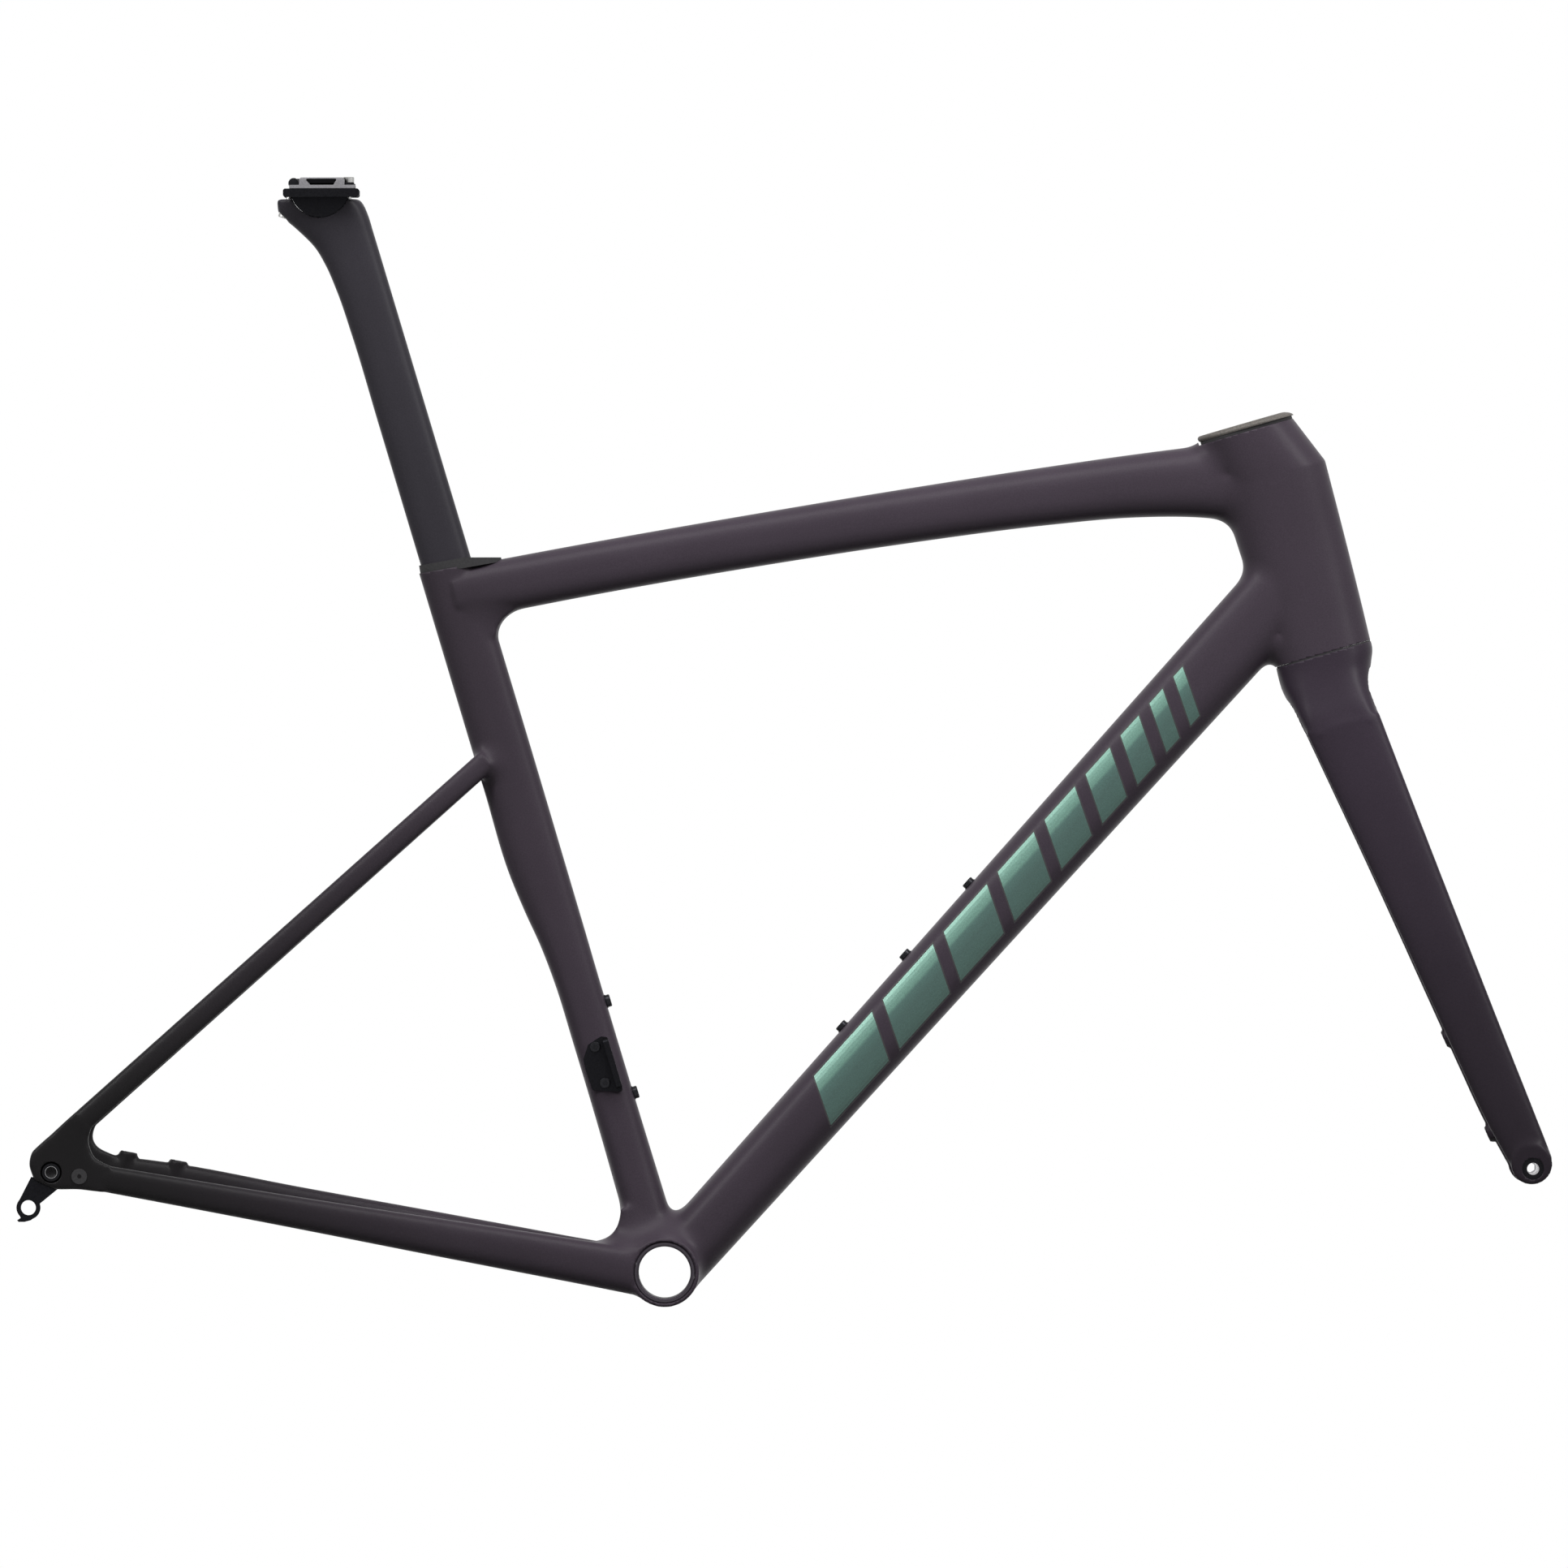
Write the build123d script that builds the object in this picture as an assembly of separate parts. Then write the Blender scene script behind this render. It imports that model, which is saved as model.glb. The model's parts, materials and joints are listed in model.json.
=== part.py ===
from build123d import *
import os
from math import atan2, copysign, cos, degrees, pi, radians, sin, sqrt, tan

# Carbon road bicycle frameset: frame, fork, seatpost with its saddle clamp, headset and thru-axles.
# Millimetres. The origin is the middle of the bottom bracket shell; +X points forward, +Z up,
# and the drive side (chain side) is -Y. Every tube is a hollow moulded skin that butts against
# the next one, so each moulding stays a solid of its own.

os.makedirs("parts", exist_ok=True)

# ---------------------------------------------------------------- layout in the side view
rear_axle_x = -409.7          # rear axle behind the crank axis
front_axle_x = 581.1          # front axle ahead of it
axle_z = 68.4                 # both axles stand this far above the crank axis
seat_angle = 73.45            # seat tube and post, from the horizontal
seat_setback = 4.0            # seat line behind the crank axis, at the crank axis's height
head_angle = 74.0             # steering axis, from the horizontal
fork_rake = 43.6              # front axle ahead of the steering axis
crown_top = 369.2             # fork crown's top along the steering axis, from the axle's level
head_tube_length = 156.9
head_split_gap = 0.9          # open line between fork crown and head tube

# ---------------------------------------------------------------- fits
bond_gap = 0.06               # glue line round a bonded insert
slide_gap = 0.35              # round the post in its socket, and other loose fits
turn_gap = 0.3                # between curved faces that turn past each other
thread_gap = 0.05             # running fit of an axle or a bolt in its hole

# ---------------------------------------------------------------- bottom bracket
shell_width = 68.0
shell_radius = 23.1
sleeve_radius = 20.0
thread_radius = 17.4
sleeve_lead_in = 1.0          # chamfer at each mouth of the threaded sleeve

# ---------------------------------------------------------------- tube skins
main_wall = 1.8
stay_wall = 1.6
seat_wall_low = 1.8

down_climb = 47.88            # down tube, from the horizontal
down_start_z = -2.4           # its centre line over the crank axis
down_half_depth_low = 20.7
down_half_depth_high = 25.4
down_half_width_low = 26.0
down_half_width_high = 22.5

top_half_width_rear = 15.5
top_half_width_front = 20.0

seat_half_width = 13.6
seat_front_reach = 18.8       # seat tube's front face ahead of the seat line
seat_rear_reach = 19.5        # its rear face above the wheel cut-out
seat_rear_reach_low = 10.9    # and beside the wheel
seat_top_climb = 9.9          # slope of the flat that the rubber collar sits on
seat_top_x = -132.3
seat_top_z = 473.9
seat_top_front_x = -108.3     # the flat ends here and the top tube's back begins

# ---------------------------------------------------------------- headset
upper_bearing_outer = 26.0    # radii
upper_bearing_inner = 20.0
upper_bearing_height = 7.0
upper_bearing_depth = 3.0     # bearing's top below the head tube's top
lower_bearing_outer = 23.5
lower_bearing_inner = 16.6
lower_bearing_height = 8.0
lower_bearing_rise = 1.6      # bearing's foot above the head tube's foot
headset_cavity_radius = 22.6  # clears the inner race that turns over it
ball_radius = 1.5
ball_spare = 0.25             # room between a ball and the outer track
steerer_radius_top = 14.3
steerer_radius_foot = 16.5
steerer_wall = 2.6
cover_gap = 2.2               # open line between the cover and the head tube
cover_rim = 2.3               # thickness of the cover's edge
cover_crown = 1.3             # how much the dome rises over its edge

# ---------------------------------------------------------------- fork
crown_arch_radius = 354.0     # roof of the wheel arch, from the front axle
fork_inner_top = 22.0         # half the gap between the legs at the crown
crown_arch_rounding = 21.8    # the arch's roof is rounded to a tyre's section
leg_half_thickness_top = 7.0
leg_half_thickness_low = 5.2
leg_joint = 318.0             # where the legs leave the crown, along the steering axis
fork_tip_radius = 13.6
fork_tip_rise = 3.3           # the tip's round is centred above the axle
front_hub_width = 100.0

# ---------------------------------------------------------------- rear end
rear_hub_width = 142.0
dropout_thickness = 9.0
axle_radius = 6.0
axle_bore_radius = 3.9
axle_hex_flats = 6.0
axle_eye_radius = 7.2         # countersunk eye round each axle's end
hanger_thickness = 4.2
hanger_hole_x = -425.0
hanger_hole_z = 44.8
hanger_hole_radius = 5.0
hanger_ring_radius = 8.0
hanger_ring_length = 7.0
rear_brake_spacing = 34.0
front_brake_spacing = 70.0
brake_bolt_radius = 2.75
brake_thread_radius = 2.1

# ---------------------------------------------------------------- seatpost and saddle clamp
post_half_depth = 16.85
post_half_width = 11.0
post_wall = 2.0
post_foot = 362.0             # post's lower end along the seat line
drum_x = -229.6               # pivot of the saddle's tilt
drum_z = 727.4
drum_seat_radius = 19.9
post_head_top = 719.6
plate_top = 726.4
plate_thickness = 5.6
plate_rear_x = -254.0
plate_front_x = -203.0
rail_spacing = 44.0           # centre to centre of the two saddle rails
rail_radius = 3.55
clamp_half_width = 27.5
clamp_top = 733.8
nut_x = -247.0                # rear barrel nut
nut_z = 730.15
nut_radius = 3.6
rear_bolt_foot_x = -253.4     # where the rear bolt's head bears on the lip
rear_bolt_foot_z = 709.6
washer_x = -210.3             # front barrel washer
washer_z = 728.9
clamp_bolt_radius = 2.0
nut_room = 0.3                # round the rear bolt in its nut, which swings a little past it

# ---------------------------------------------------------------- bottle and derailleur mounts
bottle_pitch = 64.0
down_boss_middle = 267.7      # middle boss along the down tube's centre line
seat_boss_low = 119.9         # lower boss along the seat line
boss_flange_radius = 4.6
boss_flange_height = 1.0
boss_body_radius = 3.4
boss_body_length = 11.0
bottle_bolt_radius = 2.5
bottle_head_radius = 4.2
bottle_head_height = 2.8
bottle_key_flats = 3.0


# ================================================================ reference lines and planes
seat_up = (-cos(radians(seat_angle)), sin(radians(seat_angle)))
seat_fore = (sin(radians(seat_angle)), cos(radians(seat_angle)))
steer_up = (-cos(radians(head_angle)), sin(radians(head_angle)))
steer_fore = (sin(radians(head_angle)), cos(radians(head_angle)))
steer_foot_x = front_axle_x - fork_rake * steer_fore[0]
steer_foot_z = axle_z - fork_rake * steer_fore[1]
head_foot = crown_top + head_split_gap
head_top = head_foot + head_tube_length


def steer(along, fore=0.0, y=0.0):
    """A point by its distance along the steering axis and ahead of it."""
    x = steer_foot_x + along * steer_up[0] + fore * steer_fore[0]
    z = steer_foot_z + along * steer_up[1] + fore * steer_fore[1]
    return Vector(x, y, z)


def steer_plane(along, fore=0.0, y=0.0):
    """A plane square to the steering axis; its local x points forward."""
    forward, upward = (steer_fore[0], 0, steer_fore[1]), (steer_up[0], 0, steer_up[1])
    return Plane(origin=steer(along, fore, y), x_dir=forward, z_dir=upward)


def seat(along, fore=0.0, y=0.0):
    """A point by its distance along the seat line and ahead of it."""
    x = -seat_setback + along * seat_up[0] + fore * seat_fore[0]
    return Vector(x, y, along * seat_up[1] + fore * seat_fore[1])


def seat_plane(along, fore=0.0, y=0.0):
    """A plane square to the seat line; its local x points forward."""
    forward, upward = (seat_fore[0], 0, seat_fore[1]), (seat_up[0], 0, seat_up[1])
    return Plane(origin=seat(along, fore, y), x_dir=forward, z_dir=upward)


def climbing(x, z, climb, y=0.0):
    """A plane square to a line that climbs at an angle; its local x points to the line's lower side."""
    c, s = cos(radians(climb)), sin(radians(climb))
    return Plane(origin=(x, y, z), x_dir=(s, 0, -c), z_dir=(c, 0, s))


def down_line(along):
    """A point on the down tube's centre line."""
    c, s = cos(radians(down_climb)), sin(radians(down_climb))
    return (along * c, down_start_z + along * s)


# ================================================================ building blocks
def oval(plane, fore, aft, half_width, power=2.5, side=0.0, count=28):
    """A closed rounded outline that reaches fore and aft of the plane's origin."""
    points = []
    for i in range(count):
        turn = 2 * pi * i / count
        c, s = cos(turn), sin(turn)
        reach = fore if c > 0 else aft
        x = reach * copysign(abs(c) ** (2 / power), c)
        y = side + half_width * copysign(abs(s) ** (2 / power), s)
        points.append(plane.from_local_coords((x, y, 0)))
    return Wire([Edge.make_spline(points, periodic=True)])


def moulding(stations, shrink=0.0):
    """A lofted body through (plane, fore, aft, half width, power), or its inside at a wall's depth."""
    outlines = []
    for plane, fore, aft, half_width, power in stations:
        outlines.append(oval(plane, fore - shrink, aft - shrink, half_width - shrink, power))
    return Solid.make_loft(outlines)


def eased(table, steps):
    """Rows of numbers filled in between along a cubic that follows its neighbours' slopes."""
    slopes = []
    for i in range(len(table)):
        before, after = table[max(i - 1, 0)], table[min(i + 1, len(table) - 1)]
        slopes.append([(b - a) / (after[0] - before[0]) for a, b in zip(before, after)])
    filled = []
    for i in range(len(table) - 1):
        span = table[i + 1][0] - table[i][0]
        for k in range(steps):
            t = k / steps
            at_ends = 2 * t**3 - 3 * t**2 + 1, 3 * t**2 - 2 * t**3
            of_slopes = (t**3 - 2 * t**2 + t) * span, (t**3 - t**2) * span
            weights = (at_ends[0], of_slopes[0], at_ends[1], of_slopes[1])
            ends = zip(table[i], slopes[i], table[i + 1], slopes[i + 1])
            filled.append([sum(w * v for w, v in zip(weights, values)) for values in ends])
    return filled + [list(table[-1])]


def rod(plane, radius, length, start=0.0):
    """A cylinder along the plane's normal, from start to start + length."""
    return Solid.make_cylinder(radius, length, plane.offset(start))


def pipe(plane, outer, inner, length, start=0.0):
    return rod(plane, outer, length, start) - rod(plane, inner, length + 2, start - 1)


def hexagon(plane, flats, length, start=0.0):
    """A hexagonal prism, for keys and heads."""
    outline = plane.offset(start) * RegularPolygon(flats / 2, 6, major_radius=False)
    return extrude(outline, amount=length, dir=plane.z_dir)


def beyond(plane, reach=500.0):
    """All the space on the plane's positive side, for cutting."""
    return plane * Pos(0, 0, reach / 2) * Box(reach, reach, reach)


def side_plate(points, y_start, y_end, corner=0.0):
    """A flat plate: a side-view outline of (x, z) points, extruded across from y_start to y_end."""
    outline = Wire.make_polygon([(x, y_start, z) for x, z in points], close=True)
    plate = Solid.extrude(Face(outline), Vector(0, y_end - y_start, 0))
    if corner:
        across = plate.edges().filter_by(Axis.Y)
        plate = plate.fillet(corner, across)
    return plate


def across(x, z, radius, y_start, y_end):
    """A cylinder that lies across the frame."""
    return Solid.make_cylinder(radius, y_end - y_start, Plane((x, y_start, z), z_dir=(0, 1, 0)))


def largest(shape):
    return max(shape.solids(), key=lambda piece: piece.volume)


def mirrored(shape):
    return shape.mirror(Plane.XZ)


def save(name, *shapes):
    pieces = [piece for shape in shapes for piece in shape.solids()]
    group = pieces[0] if len(pieces) == 1 else Compound(children=pieces)
    export_step(group, f"parts/{name}.step")
    print(f"{name:28s} {len(pieces):3d} {sum(piece.volume for piece in pieces):10.0f}")


# ================================================================ outer shapes of the mouldings
def head_stations(shrink=0.0):
    """Sections of the head tube: a straight nosed part, then the part that is chamfered to the top."""
    kink = head_top - 33.0
    low = [
        (steer_plane(head_foot), 38.0, 27.2, 27.2, 2.3),
        (steer_plane(head_foot + 22), 39.2, 27.8, 25.6, 2.3),
        (steer_plane(head_foot + 65), 40.8, 29.2, 24.4, 2.3),
        (steer_plane(kink), 42.5, 31.0, 26.8, 2.3),
    ]
    high = [
        (steer_plane(kink), 42.5, 31.0, 26.8, 2.3),
        (steer_plane(head_top), 29.6, 34.4, 29.2, 2.3),
    ]
    return low, high


head_low, head_high = head_stations()
head_outer = moulding(head_low) + moulding(head_high)

seat_sections = [
    (0, 19.2, 12.8, 24.0), (51, 18.7, 11.7, 18.0), (110, 18.3, seat_rear_reach_low, 14.6),
    (165, 18.2, seat_rear_reach_low, seat_half_width), (204, 18.2, 11.2, seat_half_width),
    (232, 18.4, 13.2, seat_half_width), (258, 18.5, 16.8, seat_half_width),
    (285, 18.6, seat_rear_reach, seat_half_width), (340, seat_front_reach, seat_rear_reach, seat_half_width),
    (430, seat_front_reach, seat_rear_reach, seat_half_width),
    (510, seat_front_reach, seat_rear_reach, seat_half_width),
]
seat_stations = [(seat_plane(t), fore, aft, half, 2.5) for t, fore, aft, half in seat_sections]
seat_top_plane = climbing(seat_top_x, seat_top_z, 90 + seat_top_climb)
seat_outer = moulding(seat_stations) - beyond(seat_top_plane)

down_length = 620.0
down_stations = []
for along in (0.0, 0.3 * down_length, 0.7 * down_length, down_length):
    share = along / down_length
    depth = down_half_depth_low + (down_half_depth_high - down_half_depth_low) * share
    width = down_half_width_low + (down_half_width_high - down_half_width_low) * share
    down_stations.append((climbing(*down_line(along), down_climb), depth, depth, width, 2.7))
down_outer = moulding(down_stations)

top_sections = [
    (-140.0, 454.0, 10.6, 17.9), (-47.8, 471.4, 10.3, 17.5), (65.9, 490.9, 9.1, 17.6),
    (161.0, 505.9, 8.3, 18.2), (256.4, 519.3, 7.0, 19.4), (313.5, 525.8, 6.0, 21.0),
    (352.0, 528.4, 4.0, 23.3), (400.0, 529.0, 2.0, 28.0),
]
top_stations = []
for x, z, climb, depth in top_sections:
    share = (x - top_sections[0][0]) / (top_sections[-1][0] - top_sections[0][0])
    width = top_half_width_rear + (top_half_width_front - top_half_width_rear) * share ** 2
    top_stations.append((climbing(x, z, climb), depth, depth, width, 2.6))
top_outer = moulding(top_stations)

shell_outer = rod(Plane((0, -shell_width / 2, 0), z_dir=(0, 1, 0)), shell_radius, shell_width)

# Chainstays: (x, z, half depth, y, half width); the brake side is deeper where the caliper sits.
chain_climb = -10.8
chain_drive_sections = [
    (-372.0, 63.7, 8.8, 75.3, 5.6), (-330.0, 56.1, 9.3, 68.5, 6.2), (-250.0, 41.6, 10.5, 54.5, 7.4),
    (-150.0, 23.7, 12.7, 37.5, 8.6), (-100.0, 14.9, 13.8, 31.2, 9.2), (-55.0, 7.0, 14.7, 28.0, 9.8),
    (-8.0, -1.4, 15.8, 24.0, 9.8),
]
chain_brake_sections = [
    (-372.0, 66.6, 11.7, 75.3, 5.6), (-330.0, 60.3, 12.6, 68.5, 6.2), (-250.0, 44.9, 12.9, 54.5, 7.4),
    (-150.0, 25.6, 14.0, 37.5, 8.6), (-100.0, 15.8, 14.6, 31.2, 9.2), (-55.0, 7.2, 14.9, 28.0, 9.8),
    (-8.0, -1.4, 15.8, 24.0, 9.8),
]
# Seatstays: distance along the stay, y.
stay_climb = 41.65
stay_start_x = -388.1
stay_start_z = 103.3
stay_half_depth = 7.4
stay_half_width = 5.2
stay_sections = [(0.0, 75.3), (60.0, 66.3), (180.0, 45.0), (300.0, 23.6), (378.0, 11.0)]
stay_cap_z = 343.2


def chainstay_body(sections, hand, shrink=0.0):
    """One chainstay's skin or inside; hand is -1 on the drive side and +1 on the brake side."""
    outlines = []
    for x, z, depth, y, width in sections:
        plane = climbing(x, z, chain_climb)
        outlines.append(oval(plane, depth - shrink, depth - shrink, width - shrink, 2.5, hand * y))
    return Solid.make_loft(outlines)


def seatstay_body(hand, shrink=0.0):
    c, s = cos(radians(stay_climb)), sin(radians(stay_climb))
    outlines = []
    depth = stay_half_depth - shrink
    for along, y in stay_sections:
        plane = climbing(stay_start_x + along * c, stay_start_z + along * s, stay_climb)
        outlines.append(oval(plane, depth, depth, stay_half_width - shrink, 2.4, hand * y))
    return Solid.make_loft(outlines)


# ================================================================ head tube and headset
def ball_bearing(foot, height, outer, inner, balls):
    """An angular-contact cartridge on the steering axis: outer race, inner race and its balls."""
    plane = steer_plane(foot)
    pitch = (outer + inner) / 2
    middle = plane.offset(height / 2)
    land = 0.8

    def race(near, far, groove):
        profile = Pos((near + far) / 2, height / 2) * Rectangle(far - near, height)
        profile -= Pos(pitch, height / 2) * Circle(groove)
        return plane * revolve(Plane.XZ * profile, Axis.Z)

    outer_race = race(pitch + land, outer, ball_radius + ball_spare)
    inner_race = race(inner, pitch - land, ball_radius + bond_gap)
    ring = []
    for i in range(balls):
        turn = 2 * pi * i / balls
        centre = middle.from_local_coords((pitch * cos(turn), pitch * sin(turn), 0))
        ring.append(Solid.make_sphere(ball_radius, Plane(origin=centre)))
    return outer_race, inner_race, ring


upper_bearing_foot = head_top - upper_bearing_depth - upper_bearing_height
lower_bearing_foot = head_foot + lower_bearing_rise

head_tube = head_outer
head_tube -= rod(steer_plane(head_foot), headset_cavity_radius, head_tube_length + 2, -1)
head_tube -= rod(steer_plane(upper_bearing_foot), upper_bearing_outer + bond_gap, 40)
lower_seat_height = lower_bearing_rise + lower_bearing_height + 1
head_tube -= rod(steer_plane(head_foot), lower_bearing_outer + bond_gap, lower_seat_height, -1)
# Between its two solid bearing seats the head tube is a hollow skin: hoses come down beside the steerer.
seat_block = 15.0
head_hollow = moulding(head_low, main_wall + 0.6) - rod(steer_plane(head_foot - 1), 80, seat_block + 1)
head_tube -= head_hollow
save("head_tube", largest(head_tube))

upper_outer_race, upper_inner_race, upper_balls = ball_bearing(
    upper_bearing_foot, upper_bearing_height, upper_bearing_outer, upper_bearing_inner, 36)
lower_outer_race, lower_inner_race, lower_balls = ball_bearing(
    lower_bearing_foot, lower_bearing_height, lower_bearing_outer, lower_bearing_inner, 32)
save("upper_bearing_outer_race", upper_outer_race)
save("upper_bearing_inner_race", upper_inner_race)
save("upper_bearing_balls", *upper_balls)
save("lower_bearing_outer_race", lower_outer_race)
save("lower_bearing_inner_race", lower_inner_race)
save("lower_bearing_balls", *lower_balls)

# ================================================================ bottom bracket
bb_plane = Plane((0, -shell_width / 2, 0), z_dir=(0, 1, 0))
bb_shell = shell_outer - rod(bb_plane, sleeve_radius + bond_gap, shell_width + 2, -1)
save("bottom_bracket_shell", bb_shell)

bb_sleeve = pipe(bb_plane, sleeve_radius, thread_radius, shell_width)
for mouth in (bb_plane, Plane((0, shell_width / 2, 0), z_dir=(0, -1, 0))):
    bb_sleeve -= Solid.make_cone(thread_radius + sleeve_lead_in, thread_radius, sleeve_lead_in, mouth)
save("bottom_bracket_threaded_sleeve", largest(bb_sleeve))

# ================================================================ main tubes
# Post socket, stepped down to a plain hollow below the wheel cut-out.
socket_reach = post_half_depth + slide_gap
socket_half_width = post_half_width + slide_gap
socket = moulding([
    (seat_plane(t), socket_reach, socket_reach, socket_half_width, 2.5) for t in (283.0, 400.0, 520.0)
])
hollow_low = moulding(seat_stations[:8], seat_wall_low)

# Clamping wedge's pocket in front of the post, under the collar's tongue.
wedge_depth = 29.5
wedge_half_width = 8.0
wedge_reach = 33.0
wedge_foot = 487.0 - wedge_depth
wedge_space = Box(wedge_reach, 2 * wedge_half_width, 80)
wedge_pocket = seat_plane(wedge_foot) * Pos(wedge_reach / 2, 0, 40) * wedge_space

seat_tube = seat_outer - shell_outer - socket - hollow_low - wedge_pocket
seat_tube = largest(seat_tube)

down_tube = down_outer - moulding(down_stations, main_wall) - shell_outer - head_outer - seat_outer
down_tube = largest(down_tube)

top_flat_front = Plane(origin=(seat_top_front_x, 0, seat_top_z), x_dir=(0, 1, 0), z_dir=(-1, 0, 0))
top_tube = top_outer - moulding(top_stations, main_wall) - head_outer - seat_outer - wedge_pocket
top_tube -= beyond(seat_top_plane) & beyond(top_flat_front)
top_tube = largest(top_tube)
save("top_tube", top_tube)

# ================================================================ chainstays, seatstays, dropouts
hub_face = rear_hub_width / 2
dropout_face = hub_face + dropout_thickness


def along_stay(distance, off):
    """A point on the seatstay in the side view: along it, and off its centre line to the upper side."""
    c, s = cos(radians(stay_climb)), sin(radians(stay_climb))
    return (stay_start_x + distance * c - off * s, stay_start_z + distance * s + off * c)


def chain_end(section, off):
    """The chainstay's rear end in the side view, off its centre line to the upper side."""
    x, z = section[0], section[1]
    return (x - off * sin(radians(chain_climb)), z + off * cos(radians(chain_climb)))


def dropout_outline(section):
    """Side view of a dropout: it closes the corner between the two stays behind the wheel's axle."""
    depth = section[2]
    return [
        along_stay(0, -stay_half_depth), along_stay(0, stay_half_depth),
        (rear_axle_x - 13.6, 82.0), (rear_axle_x - 15.2, 73.0), (rear_axle_x - 11.3, 62.6),
        (rear_axle_x + 2.4, 56.6),
        (rear_axle_x + 18.0, 57.0), chain_end(section, -depth), chain_end(section, depth),
        (-381.5, chain_end(section, depth)[1] + 5.2), (-385.6, 89.6),
    ]


def dropout_body(section, hand):
    outline = dropout_outline(section)
    plate = side_plate(outline, hub_face, dropout_face)
    rounded = plate.edges().filter_by(Axis.Y)
    corners = [edge for edge in rounded if edge.center().X < -386 and edge.center().Z < 95 or
               -386 < edge.center().X < -380 and edge.center().Z > 75]
    plate = plate.fillet(4.0, corners)
    rims = [edge for edge in plate.edges() if abs(edge.center().Y - dropout_face) < 0.01]
    plate = plate.chamfer(1.2, None, rims)
    return plate if hand > 0 else mirrored(plate)


chainstay_drive_outer = chainstay_body(chain_drive_sections, -1)
chainstay_brake_outer = chainstay_body(chain_brake_sections, 1)
front_block = across(0, 0, shell_radius, -60, 60) + seat_outer + down_outer

# Sleeves that carry the rear brake's bolts up through the brake-side chainstay.
brake_middle_x = -346.1
sleeve_wall = 1.9
brake_pad_rise = 15.0          # pad's top above the chainstay's centre line
brake_sleeve_depth = 13.0
brake_sleeve_planes = []
for step in (-0.5, 0.5):
    pad_x = brake_middle_x + step * rear_brake_spacing * cos(radians(chain_climb))
    share = (pad_x + 372.0) / 122.0
    pad_y = 75.3 - share * 20.8
    pad_z = 66.6 - share * 21.7
    brake_sleeve_planes.append(climbing(pad_x, pad_z + 1.0, chain_climb + 90, pad_y))


def brake_pad(plane):
    """The raised round seat under one bolt of the rear brake."""
    return rod(plane, 6.2, brake_pad_rise)


chainstay_drive = chainstay_drive_outer - chainstay_body(chain_drive_sections, -1, stay_wall) - front_block
brake_pads = Compound(children=[brake_pad(plane) for plane in brake_sleeve_planes])
chainstay_brake = chainstay_brake_outer + brake_pads
chainstay_brake = chainstay_brake - chainstay_body(chain_brake_sections, 1, stay_wall) - front_block
for plane in brake_sleeve_planes:
    chainstay_brake -= rod(plane, brake_bolt_radius + sleeve_wall + bond_gap, 80, -40)
chainstay_drive = largest(chainstay_drive)
chainstay_brake = largest(chainstay_brake)
save("chainstay_drive_side", chainstay_drive)
save("chainstay_brake_side", chainstay_brake)

brake_sleeve_length = brake_sleeve_depth + brake_pad_rise
brake_sleeves = [
    pipe(plane, brake_bolt_radius + sleeve_wall, brake_bolt_radius, brake_sleeve_length, -brake_sleeve_depth)
    for plane in brake_sleeve_planes
]
save("rear_brake_bolt_sleeves", *brake_sleeves)

stay_cap = Plane(origin=(-110.0, 0, stay_cap_z), z_dir=(0, 0, 1))
for hand, side in ((-1, "drive"), (1, "brake")):
    seatstay = seatstay_body(hand) - seatstay_body(hand, stay_wall) - seat_outer - beyond(stay_cap, 90)
    save(f"seatstay_{side}_side", largest(seatstay))

# Drive-side dropout, with the hanger let into its inner face and a grommet for the shift wire.
grommet_x = -390.9
grommet_z = 65.7
grommet_radius = 4.3
hanger_recess_radius = 12.0
hanger_face = -hub_face
dropout_drive = dropout_body(chain_drive_sections[0], -1)
dropout_drive -= across(rear_axle_x, axle_z, axle_eye_radius, -dropout_face - 1, -dropout_face + 2.6)
dropout_drive -= across(rear_axle_x, axle_z, axle_radius + thread_gap, -dropout_face - 1, -hub_face + 1)
dropout_drive -= across(grommet_x, grommet_z, grommet_radius, -dropout_face - 1, -hub_face + 1)


def hanger_outline(grow=0.0):
    """Side view of the hanger's plate: a round at the axle and an arm down to the derailleur's hole."""
    eye = Pos(rear_axle_x, axle_z) * Circle(hanger_recess_radius + grow)
    arm_points = [
        (rear_axle_x - 13.4, axle_z - 3.0), (rear_axle_x + 9.5, axle_z - 7.0),
        (hanger_hole_x + 7.6, hanger_hole_z + 2.6), (hanger_hole_x - 7.7, hanger_hole_z + 1.9),
    ]
    arm = make_face(Polyline(*arm_points, close=True))
    if grow:
        arm = offset(arm, amount=grow)
    return eye + arm


def stand_up(sketch, y_start, length):
    """A side-view sketch (x across, y up) raised into a plate between y_start and y_start + length."""
    plane = Plane(origin=(0, y_start, 0), x_dir=(1, 0, 0), z_dir=(0, -1, 0))
    return extrude(plane * sketch, amount=-length)


pocket_floor = hanger_face - hanger_thickness - 0.1
hanger_pocket = stand_up(hanger_outline(slide_gap), pocket_floor, hanger_thickness + 1)
dropout_drive -= hanger_pocket
save("dropout_drive_side", largest(dropout_drive))

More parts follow.
